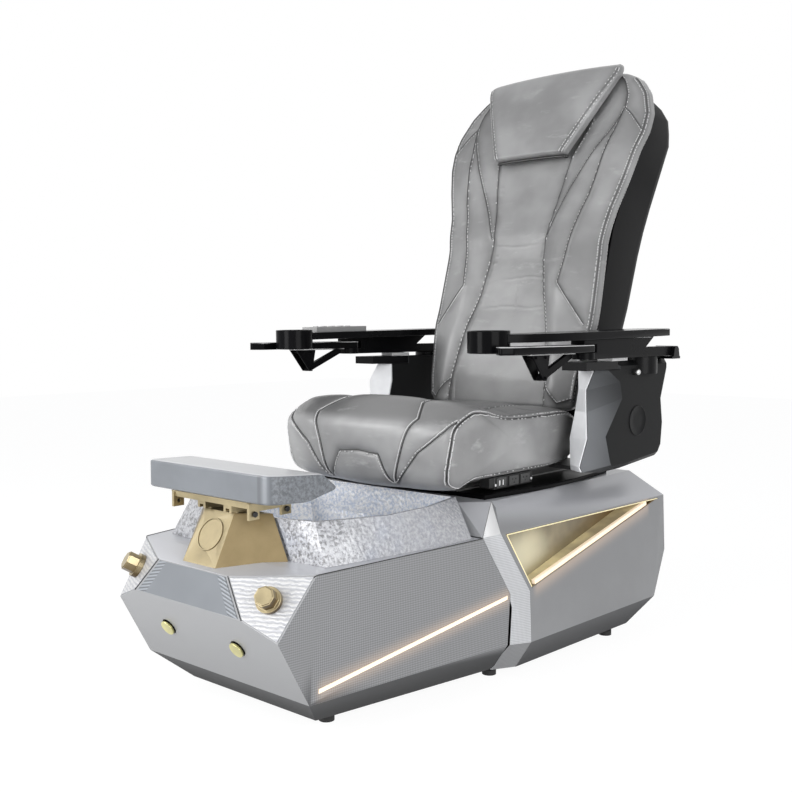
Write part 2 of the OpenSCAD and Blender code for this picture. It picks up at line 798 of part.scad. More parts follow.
module pedestal_badge() {
  color("khaki") translate(badge_seat) aim(pedestal_face) translate([0, 0, -2]) {
    cylinder(h = 2.5, r = badge_r - 3);
    difference() {
      cylinder(h = 4, r = badge_r);
      translate([0, 0, -1]) cylinder(h = 6, r = badge_r - 2.9);
    }
  }
}

pad_z0 = pad_top_z - pad_t;
guide_x = 40;
guide_h = 10;
guide_y0 = head_front_y + 4;
guide_y1 = pedestal_rear_y - 2;
carriage_z = pedestal_top_z + guide_h + gap;

module footrest_guides() {
  color("darkgoldenrod") on_both_sides() {
    box(guide_x - 9, guide_x + 9, guide_y0, guide_y1, pedestal_top_z, pedestal_top_z + 3);
    box(guide_x - 5, guide_x + 5, guide_y0, guide_y1, pedestal_top_z + 3, pedestal_top_z + guide_h);
  }
}

bar_half = 116;
bar_y = [front_y + 74, front_y + 156];
bar_z = pad_z0 - 14;
plate_drop = pedestal_top_z - 2;

module footrest_carriage() {
  color("goldenrod") {
    on_both_sides() {
      difference() {
        box(guide_x - 12, guide_x + 12, bar_y[0], bar_y[1], pedestal_top_z + 3.5, pad_z0 - 4);
        box(guide_x - 5 - gap, guide_x + 5 + gap, bar_y[0] - 1, bar_y[1] + 1, 0, carriage_z);
      }
      for (y = bar_y) difference() {
        box(bar_half - 3, bar_half + 3, y - 13, y + 13, plate_drop, pad_z0 - 3);
        translate([bar_half - 8, y, bar_z - 10]) rotate([0, 90, 0]) cylinder(h = 20, r = 4);
      }
      box(bar_half - 2, bar_half + 2, bar_y[0] + 13, bar_y[1] - 13, bar_z - 6, bar_z + 6);
    }
    for (y = bar_y)
      box(-bar_half, bar_half, y - 9, y + 9, bar_z, pad_z0 - 3);
    box(-bar_half, bar_half, bar_y[0] - 16, bar_y[1] + 14, pad_z0 - 3, pad_z0 - gap);
  }
}

module carriage_bolts() {
  color("black") on_both_sides() for (y = bar_y)
    translate([bar_half + 3, y, bar_z - 10]) rotate([0, 90, 0]) cylinder(h = 5, r = 6, $fn = 6);
}

pad_tail = 30;
pad_sink = 7;

// The foot rest is a padded slab. Loops run round it from its underside to its crown. Its rear
// face bulges back below, and its top falls a little towards the rear.
module footrest_pad() {
  y0 = front_y + pad_back;
  y1 = y0 + pad_depth;
  function ring(h) =
    let (d = 6 * pow(abs(2 * h - 1), 4), tail = pad_tail * pow(sin(180 * (h * 0.8 + 0.2)), 0.7))
    [for (i = [0:27])
      let (
        side = floor(i / 7), q = (i % 7) / 7,
        s = side == 0 ? [mix(-1, 1, q), -1] : side == 1 ? [1, mix(-1, 1, q)]
          : side == 2 ? [mix(1, -1, q), 1] : [-1, mix(1, -1, q)],
        t = (s[1] + 1) / 2, k = max(0, abs(s[0]) + abs(s[1]) - 1.72) * 50,
        half = mix(pad_front_half, pad_rear_half, t) - d - k * 0.6
      )
      [s[0] * half, mix(y0 + d, y1 - d + tail, t) - s[1] * k * 0.4,
       pad_z0 + pad_t * h - pad_sink * t * h - 3 * pow(s[0], 4) * h]];
  color("silver") loft([for (h = [0, 0.06, 0.25, 0.5, 0.75, 0.94, 1]) ring(h)]);
}

// ---- seat --------------------------------------------------------------------------------
plate_top = deck_z + plate_t;
rail_top = plate_top + 20;
pan_z = rail_top + 5;
pan_t = seat_z - gap - pan_z;
rail_y0 = deck_front_y + 12;
rail_y1 = rear_y - 96;
runner_y0 = rail_y0 + seat_travel + 8;
runner_y1 = rail_y1 - 96;

module seat_platform() {
  w = deck_half - 9;
  mid_y = (rail_y0 + rail_y1) / 2;
  color("black")
    translate([0, 0, deck_z]) linear_extrude(plate_t) polygon(mirrored_outline([
      [0, rail_y0 - 8], [w - 12, rail_y0 - 8], [w + 6, mid_y - 130], [w + 12, mid_y - 30],
      [w + 6, mid_y + 80], [w - 16, rail_y1 + 4], [0, rail_y1 + 4]
    ]));
}

module slide_rails() {
  color("gray") on_both_sides() {
    box(rail_x - 18, rail_x + 18, rail_y0, rail_y1, plate_top, plate_top + 4);
    box(rail_x - 9, rail_x + 9, rail_y0, rail_y1, plate_top + 4, rail_top);
  }
}

screw_z = plate_top + 12;
screw_r = 6;

module slide_screw() {
  color("lightgray") {
    round_bar([0, rail_y0 + 20, screw_z], [0, rail_y1 - 90, screw_z], screw_r);
    difference() {
      box(-14, 14, rail_y0 + 6, rail_y0 + 20, plate_top, screw_z + 10);
      translate([0, rail_y0, screw_z]) rotate([-90, 0, 0]) cylinder(h = 18, r = 3);
    }
    box(-26, 26, rail_y1 - 90, rail_y1 - 10, plate_top, screw_z + 11);
  }
}

module slide_nut() {
  color("gray") difference() {
    box(-16, 16, runner_y1 - 60, runner_y1 - 26, plate_top + 2, pan_z);
    translate([0, 0, screw_z]) rotate([-90, 0, 0]) translate([0, 0, -far]) cylinder(h = 2 * far, r = screw_r + fit);
  }
}

lug_x = 190;
lug_t = 8;

module seat_frame() {
  front = seat_front_y + 60;
  rear = pivot_y + 34;
  color("black") {
    box(-seat_half + 42, seat_half - 42, front, rear, pan_z, pan_z + pan_t);
    on_both_sides() {
      difference() {
        box(rail_x - 21, rail_x + 21, runner_y0, runner_y1, plate_top + 4 + gap, pan_z);
        box(rail_x - 9 - gap, rail_x + 9 + gap, runner_y0 - 1, runner_y1 + 1, 0, rail_top + gap);
      }
      box(seat_half - 50, box_x, rear - 130, rear, pan_z, pan_z + pan_t);
      difference() {
        between_x(lug_x - lug_t / 2, lug_x + lug_t / 2) union() {
          polygon([[pivot_y - 34, pan_z + 1], [pivot_y + 30, pan_z + 1],
                   [pivot_y + 17, pivot_z + 8], [pivot_y - 17, pivot_z + 8]]);
          translate([pivot_y, pivot_z]) circle(r = 19);
        }
        translate([0, pivot_y, pivot_z]) rotate([0, 90, 0]) cylinder(h = far, r = pin_r + fit);
      }
    }
  }
}

torque_r = 9;
motor_r = 22;
pan_top = pan_z + pan_t;

// A gearbox on the seat pan turns the back's torque tube, which runs through it.
module recline_motor() {
  color("dimgray") {
    difference() {
      box(-34, 34, pivot_y - 25, pivot_y + 25, pan_top, pivot_z + 22);
      translate([-far, pivot_y, pivot_z]) rotate([0, 90, 0]) cylinder(h = 2 * far, r = torque_r + fit);
    }
    round_bar([34, pivot_y, pan_top + motor_r], [130, pivot_y, pan_top + motor_r], motor_r);
  }
}

// Seat cushion: cross sections from the left side to the right, each a rounded block with a
// front roll, a bowed front, two sewn channels and sides that draw in.
seat_stations = [0, 0.18, 0.36, 0.46, 0.5, 0.54, 0.58, 0.64, 0.76, 0.88, 0.95, 0.985, 1];
channel_at = 0.54;
channel_depth = 5;

function seat_loop(u) =
  let (
    side = pow(abs(u), 40), inset_y = 9 * side, inset_z = 9 * side,
    a = (seat_rear_y - seat_front_y) / 2 - inset_y, b = (seat_top_z - seat_z) / 2 - inset_z,
    cy = (seat_rear_y + seat_front_y) / 2, cz = (seat_top_z + seat_z) / 2
  )
  [for (i = [0:25])
    let (
      w = i * 360 / 26 + 8, c = cos(w), s = sin(w),
      y = cy + a * sign(c) * pow(abs(c), 0.42), z0 = cz + b * sign(s) * pow(abs(s), 0.42),
      front = max(0, -c), top = max(0, s),
      roll = seat_roll * bell(y - seat_front_y - 105, 72) * top * (1 - 0.2 * u * u),
      bow = 16 * u * u * front + 26 * u * u * front * (1 - top) * pow((seat_top_z - z0) / (seat_top_z - seat_z), 3),
      channel = channel_depth * bell(abs(u) - channel_at, 0.035) * max(top, front),
      z = z0 + roll - channel * top - 10 * u * u * top,
      narrow = 1 - 0.1 * pow(max(0, (seat_top_z - z) / (seat_top_z - seat_z)), 2)
    )
    [seat_half * u * narrow, y + bow + channel * front, z]];

module seat_cushion() {
  us = concat([for (i = [len(seat_stations) - 1:-1:1]) -seat_stations[i]], seat_stations);
  color("gray") loft([for (u = us) seat_loop(u)]);
}

outlet_y0 = -65;
outlet_y1 = 91;
outlet_x = seat_half - 18;

outlet_in = seat_half - 42;
outlet_z0 = plate_top + 4;
outlet_z1 = pan_z + pan_t - 2;
outlet_mid = (outlet_z0 + outlet_z1) / 2;
outlet_at = [outlet_y0 + 28, outlet_y0 + 78, outlet_y0 + 124];

module outlet_box() {
  color("black") {
    box(outlet_in, outlet_x, outlet_y0, outlet_y1, outlet_z0, outlet_z1);
    box(outlet_in, outlet_x + 3, outlet_y0 - 22, outlet_y0, outlet_z0 + 6, outlet_z1);
    for (y = [outlet_y0 + 5, outlet_y1 - 5])
      translate([outlet_x, y, outlet_mid - 4]) rotate([0, 90, 0]) cylinder(h = 2, r = 3);
  }
}

module outlet_faces() {
  color("dimgray") difference() {
    union() for (y = outlet_at)
      box(outlet_x + 0.05, outlet_x + 2, y - 19, y + 19, outlet_z0 + 3, outlet_z1 - 3);
    for (y = [outlet_at[1], outlet_at[2]], p = [[-7, 3], [7, 3], [0, -5]])
      translate([outlet_x + 1, y + p[0], outlet_mid + p[1]]) rotate([0, 90, 0]) cylinder(h = 5, r = 1.8, $fn = 16);
    for (y = [-7, 7])
      box(outlet_x + 1, outlet_x + 5, outlet_at[0] + y - 2.5, outlet_at[0] + y + 2.5, outlet_mid - 6, outlet_mid + 6);
  }
}

// ---- arm boxes ---------------------------------------------------------------------------
box_top_z = rail_z - 8;
box_out = box_x + box_w;
// (Y, Z) outline of an arm box, waisted at both ends.
box_outline = [
  [162, 431], [490, 440], [512, 447], [533, 523], [522, 595], [560, 673], [560, box_top_z],
  [222, box_top_z], [184, 679], [150, 634], [150, 519], [132, 459]
];
mount_post_r = 43;
mount_post_y = 424;
mount_post_x = box_x + 45;
clamp_y0 = 122;
clamp_y1 = 271;
clamp_z0 = box_top_z - 20;
hinge_r = 13;
hinge_z = rail_z + 12;
ear_t = 11;
ear_gap = 0.5;

module arm_boxes() {
  color([0.2, 0.2, 0.22]) on_both_sides() difference() {
    union() {
      between_x(box_x, box_out - 10) polygon(box_outline);
      hull_of(concat(
        [for (p = box_outline) [box_out - 10, p[0], p[1]]],
        [for (p = box_outline) [box_out, 345 + (p[0] - 345) * 0.82, 566 + (p[1] - 566) * 0.9]]));
    }
    box(box_x - 1, box_out + 9, 0, front_cut_y, 0, clamp_z0);
    box(box_x - 1, box_out + 9, clamp_y0 - gap, clamp_y1 + gap, clamp_z0 - gap, far);
    translate([mount_post_x, mount_post_y, rail_z - 44 - gap]) cylinder(h = 60, r = mount_post_r + gap);
  }
}

front_cut_y = 166;

module arm_box_fronts() {
  y1 = front_cut_y - gap;
  z1 = clamp_z0 - 2 * gap;
  color("lightgray") on_both_sides() difference() {
    between_x(box_x, box_out - 6)
      polygon([[y1, 440], [124, 452], [134, 519], [150, 634], [158, z1], [y1, z1]]);
    between_x(box_x + 4, box_out - 10)
      polygon([[y1 + 1, 445], [129, 457], [139, 520], [155, 634], [161, z1 - 4], [y1 + 1, z1 - 4]]);
  }
}

module arm_mounts() {
  color("black") on_both_sides() {
    box(box_x, box_out + 4, clamp_y0, clamp_y1, clamp_z0, box_top_z);
    box(box_out - 32, box_out + 8, clamp_y1 - 36, clamp_y1 + 40, box_top_z, rail_z - gap);
    difference() {
      translate([mount_post_x, mount_post_y, rail_z - 44]) cylinder(h = 44 - gap, r = mount_post_r);
      translate([mount_post_x, mount_post_y, rail_z - 50]) cylinder(h = 20, r = 8);
    }
    box(box_x, arm_x + rail_w / 2 + ear_t, arm_hinge_y - 24, arm_hinge_y + 20, box_top_z, hinge_z - hinge_r - 0.6);
    for (x = [arm_x - rail_w / 2 - ear_t, arm_x + rail_w / 2 + ear_gap])
      between_x(x, x + ear_t - ear_gap) {
        translate([arm_hinge_y, hinge_z]) circle(r = hinge_r);
        polygon([[arm_hinge_y - 18, box_top_z + 2], [arm_hinge_y + 18, box_top_z + 2],
                 [arm_hinge_y + hinge_r, hinge_z], [arm_hinge_y - hinge_r, hinge_z]]);
      }
    translate([arm_x - rail_w / 2 - ear_t, arm_hinge_y, hinge_z]) rotate([0, 90, 0])
      cylinder(h = rail_w + 2 * ear_t, r = hinge_pin_r);
  }
}

hinge_pin_r = 5;

// ---- arms (the right one; the left one is its mirror image) --------------------------------
top_z = rail_z + rail_h + 22;
top_tilt = 1;
top_mid_y = 160;
pivot_r = 26;
tray_pin_r = 6;
tray_z0 = rail_z + 16;
tray_t = 18;
cup = [box_x, -172];

module tilt_top() {
  translate([0, top_mid_y, top_z]) rotate([top_tilt, 0, 0]) translate([0, -top_mid_y, -top_z]) children();
}

module arm_rail() {
  color("black") {
    difference() {
      union() {
        box(arm_x - rail_w / 2, arm_x + rail_w / 2, tray_pivot_y + 30, arm_hinge_y, rail_z, rail_z + rail_h);
        box(arm_x - rail_w / 2, arm_x + rail_w / 2, tray_pivot_y, tray_pivot_y + 31, rail_z, tray_z0 - gap);
        translate([arm_x, tray_pivot_y, rail_z]) cylinder(h = tray_z0 - gap - rail_z, r = pivot_r);
        translate([arm_x - rail_w / 2, arm_hinge_y, hinge_z]) rotate([0, 90, 0]) cylinder(h = rail_w, r = hinge_r);
      }
      translate([0, arm_hinge_y, hinge_z]) rotate([0, 90, 0]) cylinder(h = far, r = hinge_pin_r + fit);
    }
    translate([arm_x, tray_pivot_y, rail_z + 2]) cylinder(h = top_z - rail_z - 6, r = tray_pin_r);
    difference() {
      between_x(arm_x - rail_w / 2, arm_x + rail_w / 2) polygon([
        [tray_pivot_y + 30, rail_z + rail_h - 1], [tray_pivot_y + 270, rail_z + rail_h - 1],
        [tray_pivot_y + 340, top_z + 20], [tray_pivot_y - 26, top_z + 20],
        [tray_pivot_y - 26, tray_z0 + tray_t + gap], [tray_pivot_y + 30, tray_z0 + tray_t + gap]
      ]);
      tilt_top() box(0, far, -far, far, top_z - gap, far);
    }
  }
}

module arm_top() {
  color("black") tilt_top() difference() {
    union() {
      translate([0, 0, top_z]) linear_extrude(top_t) union() {
        polygon([
          [cup[0] - 20, cup[1] + 30], [290, -70], [290, 470], [304, 510], [340, 526], [380, 516],
          [398, 480], [402, 60], [396, -60], [374, -130], [cup[0] + 30, cup[1] - 20]
        ]);
        translate(cup) circle(r = cup_r);
      }
      translate([cup[0], cup[1], top_z + top_t - cup_depth - 4]) cylinder(h = cup_depth + 12, r = cup_r);
    }
    translate([cup[0], cup[1], top_z + top_t - cup_depth]) cylinder(h = far, r = cup_bore_r);
  }
}

module side_tray() {
  y0 = tray_pivot_y - tray_len;
  inner = cup[0] + cup_r + 5;
  color("black") difference() {
    translate([0, 0, tray_z0]) linear_extrude(tray_t) union() {
      polygon([
        [inner + 4, y0 + 20], [inner + 26, y0], [arm_x + 14, y0], [arm_x + 30, y0 + 22],
        [arm_x + 32, 40], [arm_x + pivot_r, tray_pivot_y], [arm_x - pivot_r, tray_pivot_y],
        [inner, 40]
      ]);
      translate([arm_x, tray_pivot_y]) circle(r = pivot_r);
    }
    translate([arm_x, tray_pivot_y, 0]) cylinder(h = far, r = tray_pin_r + fit);
  }
}

module tray_bracket() {
  z = tray_z0 - gap;
  x = arm_x - 8;
  color("black") {
    for (side = [-12, 12])
      between_x(x + side - 1.5, x + side + 1.5) polygon([
        [-121, z], [-50, z], [-56, z - 30], [-62, z - 58], [-72, z - 58]
      ]);
    between_x(x - 12, x + 12) polygon([[-121, z - 3], [-121, z], [60, z], [60, z - 3]]);
    between_x(x - 5, x + 5) polygon([
      [-74, z - 58], [-60, z - 58], [56, z - 12], [56, z - 2], [40, z - 2], [-68, z - 44]
    ]);
    for (p = [[-104, z - 8], [-66, z - 8], [-67, z - 52]])
      round_bar([x - 17, p[0], p[1]], [x + 17, p[0], p[1]], 3.2);
  }
}

module right_arm_rail() arm_rail();
module left_arm_rail() mirror([1, 0, 0]) arm_rail();
module right_arm_top() arm_top();
module left_arm_top() mirror([1, 0, 0]) arm_top();
module right_side_tray() side_tray();
module left_side_tray() mirror([1, 0, 0]) side_tray();
module right_tray_bracket() tray_bracket();
module left_tray_bracket() mirror([1, 0, 0]) tray_bracket();

module remote_control() {
  color("silver") tilt_top() translate([-345, 20, top_z + top_t]) {
    translate([-27, -95, 0.05]) cube([54, 190, 13]);
    for (i = [0:3], j = [0, 1]) translate([-12 + 24 * j, -60 + 32 * i, 13]) cylinder(h = 2, r = 7);
  }
}

// ---- back --------------------------------------------------------------------------------
back_z0 = 566;
// Front surface of the back cushion along the middle, as height and Y.
front_line = [
  [back_z0, 278], [650, 288], [766, 320], [833, 343], [973, 379], [1040, 392], [1105, 416],
  [1240, 458], [1315, 500], [1400, 545], [back_top_z, 586]
];
// Half width of the back cushion.
width_line = [
  [back_z0, 230], [650, 238], [790, 256], [1000, 250], [1090, 264], [1170, 287], [1290, 314],
  [1340, 312], [1400, 288], [1440, 255], [back_top_z, 205]
];
// Distance of the sewn channels from the middle.
channel_line = [[back_z0, 150], [650, 150], [766, 127], [833, 109], [973, 80], [1019, 81], [1105, 100], [1240, 116], [back_top_z, 170]];
pillow_z0 = 1238;
pillow_top = back_top_z + 14;

function front_at(z) = lookup(z, front_line);

// A row of the back cushion: the front runs from the left edge to the right one, with both
// channels, and the rear is flat. The row is drawn in by e at the two ends.
function back_loop(z, e) =
  let (
    w = lookup(z, width_line) - e, c = min(lookup(z, channel_line), w - 60), y0 = front_at(z),
    deep = z > pillow_z0 - 20 ? 0 : 9, bulge = z > pillow_z0 - 20 ? 0 : 8,
    xs = [0, 0.5 * c, c - 12, c, c + 12, mix(c, w, 0.45), mix(c, w, 0.7), w - 14, w - 3],
    ys = [0, 0, 0, deep, 0, -bulge, -0.6 * bulge, 6, 20],
    right = [for (i = [0:8]) [xs[i], y0 + ys[i] + e * 0.6, z]]
  )
  concat(
    [for (i = [8:-1:1]) flip(right[i])], right,
    [[w, y0 + 38, z], [w - 6, y0 + back_t - 3 - e * 0.4, z], [w - 30, y0 + back_t - e * 0.4, z],
     [0, y0 + back_t - e * 0.4, z],
     [30 - w, y0 + back_t - e * 0.4, z], [6 - w, y0 + back_t - 3 - e * 0.4, z], [-w, y0 + 38, z]]
  );

module back_cushion() {
  rows = [back_z0 + 10, 610, 650, 700, 766, 800, 833, 880, 930, 973, 1040, 1105, 1170, 1218,
          1240, 1280, 1315, 1350, 1400, 1440];
  color("gray") loft(concat(
    [back_loop(back_z0, 14)], [for (z = rows) back_loop(z, 0)],
    [back_loop(back_top_z - 10, 4), back_loop(back_top_z, 16)]));
}

function pillow_loop(z, e) =
  let (
    t = (z - pillow_z0) / (pillow_top - pillow_z0), w = mix(116, 214, min(1, t * 1.06)) - e,
    zz = min(z, back_top_z - 2), y0 = front_at(zz) + (z > back_top_z - 2 ? z - back_top_z + 2 : 0),
    back = y0 - gap + (z > back_top_z ? 14 : 0), crown = 7 * max(0, t - 0.8) / 0.2
  )
  [for (x = [-1, -0.93, -0.7, -0.4, 0, 0.4, 0.7, 0.93, 1])
    [w * x, y0 - pillow_t + 6 * pow(x, 4) + e * 0.7, z + crown * (1 - x * x)],
   [w, back - 8, z], [w - 8, back, z], [8 - w, back, z], [-w, back - 8, z]];

module headrest_pillow() {
  color("gray") loft([
    for (s = [[pillow_z0, 12], [1240, 8], [1248, 3], [1264, 0], [1315, 0], [1360, 0], [1400, 0], [1440, 0],
              [back_top_z, 0], [back_top_z + 1, 1], [pillow_top - 6, 4], [pillow_top, 12]])
      pillow_loop(s[0], s[1])
  ]);
}

shell_z0 = 540;
shell_top = 1428;
// Rear surface of the back shell, as height and Y.
rear_line = [
  [shell_z0, 470], [650, 520], [800, 570], [937, 617], [1075, 660], [1273, 736], [1340, 744],
  [1390, 716], [shell_top, 664]
];
// Half width of the shell.
shell_width = [
  [shell_z0, 205], [650, 222], [800, 240], [1000, 244], [1170, 262], [1280, 276], [1350, 272],
  [1390, 256], [shell_top, 215]
];
shell_zs = [shell_z0, back_z0, 610, 650, 710, 766, 833, 900, 973, 1040, 1105, 1170, 1240, 1280, 1315, 1350,
            1380, 1400, shell_top];

function shell_front(z) = front_at(z) + back_t + gap;

// A row of the shell, moved in by e: open towards the cushion, rounded at the rear corners.
function shell_loop(z, e, front) =
  let (w = lookup(z, shell_width) - e, y0 = shell_front(z) - front, y1 = lookup(z, rear_line) - e)
  [[-w, y0, z], [w, y0, z], [w, y1 - 44, z], [w - 4, y1 - 24, z], [w - 14, y1 - 10, z],
   [w - 34, y1 - 2, z], [w - 70, y1, z], [70 - w, y1, z], [34 - w, y1 - 2, z], [14 - w, y1 - 10, z],
   [4 - w, y1 - 24, z], [-w, y1 - 44, z]];

module back_shell() {
  inside = [for (z = shell_zs) max(shell_z0 + back_shell_t, min(shell_top - back_shell_t, z))];
  color([0.1, 0.1, 0.1]) difference() {
    loft([for (z = shell_zs) shell_loop(z, 0, 0)]);
    loft([for (i = [0:len(shell_zs) - 1])
      [for (p = shell_loop(shell_zs[i], back_shell_t, 40)) [p[0], p[1], inside[i]]]]);
    on_both_sides() box(strap_x - frame_rail_t - 3, strap_x + 3, pivot_y, pivot_y + 100, shell_z0 - 1, shell_z0 + 10);
  }
}

strap_x = lug_x - lug_t / 2 - 6;
frame_rail_t = 5;
frame_top = 1360;

module back_frame() {
  zs = [600, 700, 833, 973, 1105, 1240, frame_top];
  color("dimgray") on_both_sides() {
    difference() {
      between_x(strap_x - frame_rail_t, strap_x) union() {
        translate([pivot_y, pivot_z]) circle(r = 17);
        polygon([
          [pivot_y - 15, pivot_z], [pivot_y + 17, pivot_z], [shell_front(600) + 26, 600],
          [shell_front(600) + 2, 600], [shell_front(back_z0) + 2, back_z0 - 12]
        ]);
        polygon(concat([for (z = zs) [shell_front(z) + 2, z]],
                       [for (i = [len(zs) - 1:-1:0]) [shell_front(zs[i]) + 26, zs[i]]]));
      }
      translate([0, pivot_y, pivot_z]) rotate([0, 90, 0]) cylinder(h = far, r = pin_r + fit);
    }
    for (z = strip_zs)
      between_x(strap_x - 0.01, min(shell_half(z - 10), shell_half(z + 10)) - back_shell_t - gap)
        polygon(cross_strip(z));
  }
  color("dimgray") {
    for (z = strip_zs)
      between_x(-strap_x + 1, strap_x - 1) polygon(cross_strip(z));
    torque_half = strap_x - frame_rail_t;
    translate([-torque_half - 1, pivot_y, pivot_z]) rotate([0, 90, 0])
      cylinder(h = 2 * torque_half + 2, r = torque_r);
  }
}

strip_zs = [640, 1290];

function shell_half(z) = lookup(z, shell_width);
function cross_strip(z) = [
  [shell_front(z) + 12, z - 10], [shell_front(z) + 24, z - 10], [shell_front(z) + 24, z + 10], [shell_front(z) + 12, z + 10]
];

module recline_pins() {
  color("silver") on_both_sides()
    translate([strap_x - frame_rail_t + 1.3, pivot_y, pivot_z]) rotate([0, 90, 0])
      cylinder(h = frame_rail_t + 6 + lug_t + 3, r = pin_r);
}

// The massage carriage runs between the frame's two rails.
massage_z = 800;
massage_travel = 120;
massage_depth = 20;
massage_rake = atan((front_at(massage_z + massage_travel) - front_at(massage_z)) / massage_travel);
carriage_half = strap_x - frame_rail_t - 0.5;

module on_carriage() {
  translate([0, shell_front(massage_z) + massage_depth, massage_z]) rotate([-massage_rake, 0, 0]) children();
}

module massage_carriage() {
  color("gray") on_carriage() {
    box(-carriage_half, carriage_half, -6, 2, -30, 30);
    for (x = [-90, -56, 56, 90]) difference() {
      box(x - 3, x + 3, -14, -5, -34, 34);
      for (z = [-24, 24]) translate([x - 4, -11, z]) rotate([0, 90, 0]) cylinder(h = 8, r = roller_axle_r + fit);
    }
  }
}

roller_axle_r = 1.5;

module massage_rollers() {
  color("ivory") on_carriage() for (x = [-73, 73], z = [-24, 24]) {
    translate([x - 13.7, -11, z]) rotate([0, 90, 0]) cylinder(h = 27.4, r = 4.7);
    translate([x - 20, -11, z]) rotate([0, 90, 0]) cylinder(h = 40, r = roller_axle_r);
  }
}

base_frame();
levelling_feet();
front_shell();
middle_band();
deck_bridge();
rear_shell();
front_panel();
corner_plates();
side_lights();
recess_liners();
recess_lights();
access_panel();
basin();
drain_flange();
drain_stopper();
jet_housing();
jet_impeller();
jet_motor();
valve_bodies();
button_switches();
left_knob();
right_knob();
left_button();
right_button();
pedestal();
pedestal_badge();
footrest_guides();
footrest_carriage();
carriage_bolts();
footrest_pad();
drain_pump();
drain_pipe();
seat_platform();
slide_rails();
slide_screw();
seat_frame();
slide_nut();
seat_cushion();
outlet_box();
outlet_faces();
arm_boxes();
arm_box_fronts();
arm_mounts();
recline_motor();
back_frame();
recline_pins();
back_shell();
back_cushion();
headrest_pillow();
massage_carriage();
massage_rollers();
left_arm_rail();
left_arm_top();
right_arm_rail();
right_arm_top();
left_side_tray();
right_side_tray();
left_tray_bracket();
right_tray_bracket();
remote_control();
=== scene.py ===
"""Pedicure spa chair: upholstery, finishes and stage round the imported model."""

import json
import math
from contextlib import contextmanager

import bmesh
import bpy
import numpy as np
from bpy.props import FloatProperty, FloatVectorProperty, PointerProperty
from mathutils import Matrix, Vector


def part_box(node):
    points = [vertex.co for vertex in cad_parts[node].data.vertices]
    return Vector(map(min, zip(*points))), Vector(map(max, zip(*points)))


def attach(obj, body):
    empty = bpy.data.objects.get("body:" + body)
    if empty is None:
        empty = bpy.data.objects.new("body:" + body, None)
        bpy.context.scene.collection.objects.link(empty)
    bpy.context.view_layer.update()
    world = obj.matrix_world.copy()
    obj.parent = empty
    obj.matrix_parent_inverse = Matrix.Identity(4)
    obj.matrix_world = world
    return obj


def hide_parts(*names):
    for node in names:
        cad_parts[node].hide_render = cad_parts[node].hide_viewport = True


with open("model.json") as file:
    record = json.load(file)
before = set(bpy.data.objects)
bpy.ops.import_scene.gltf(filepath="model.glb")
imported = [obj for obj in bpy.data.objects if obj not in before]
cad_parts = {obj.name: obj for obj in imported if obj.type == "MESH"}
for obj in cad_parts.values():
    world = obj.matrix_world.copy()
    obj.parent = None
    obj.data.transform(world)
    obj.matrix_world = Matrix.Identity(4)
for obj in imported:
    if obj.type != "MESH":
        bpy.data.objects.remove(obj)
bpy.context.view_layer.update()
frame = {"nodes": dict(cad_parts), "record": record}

bl_info = {
    "name": "Pedicure spa chair",
    "version": (1, 0, 0),
    "blender": (4, 5, 0),
    "location": "View3D > Sidebar > Spa chair",
    "description": "Upholstery, finishes and stage for a pedicure spa chair",
    "category": "Object",
}

MM = 0.001
BODY_OF = {node: body for body, nodes in frame["record"]["behaviour"]["bodies"].items() for node in nodes}


# ---- shader expressions ----------------------------------------------------------------------
def math_node(operation):
    """A method of Wire that adds one Math node."""
    def method(self, *others):
        return self.shade.node("ShaderNodeMath", {"operation": operation}, self, *others)
    return method


class Wire:
    """A shader socket that can stand in a Python expression. Each operator adds its Math node."""

    def __init__(self, shade, socket):
        self.shade, self.socket = shade, socket

    __add__ = __radd__ = math_node("ADD")
    __mul__ = __rmul__ = math_node("MULTIPLY")
    __sub__, __truediv__ = math_node("SUBTRACT"), math_node("DIVIDE")
    __abs__, sine = math_node("ABSOLUTE"), math_node("SINE")

    def __rsub__(self, other):
        return self.shade.node("ShaderNodeMath", {"operation": "SUBTRACT"}, other, self)

    def __neg__(self):
        return 0 - self

    def step(self, low, high):
        """0 below low, 1 above high, and 3 t ** 2 - 2 t ** 3 between them."""
        smooth = {"interpolation_type": "SMOOTHSTEP"}
        return self.shade.node("ShaderNodeMapRange", smooth, self, low, high)

    def sine_wave(self, pitch):
        """A wave in 0..1 that repeats every pitch."""
        return (self * (2 * math.pi / pitch)).sine() * 0.5 + 0.5


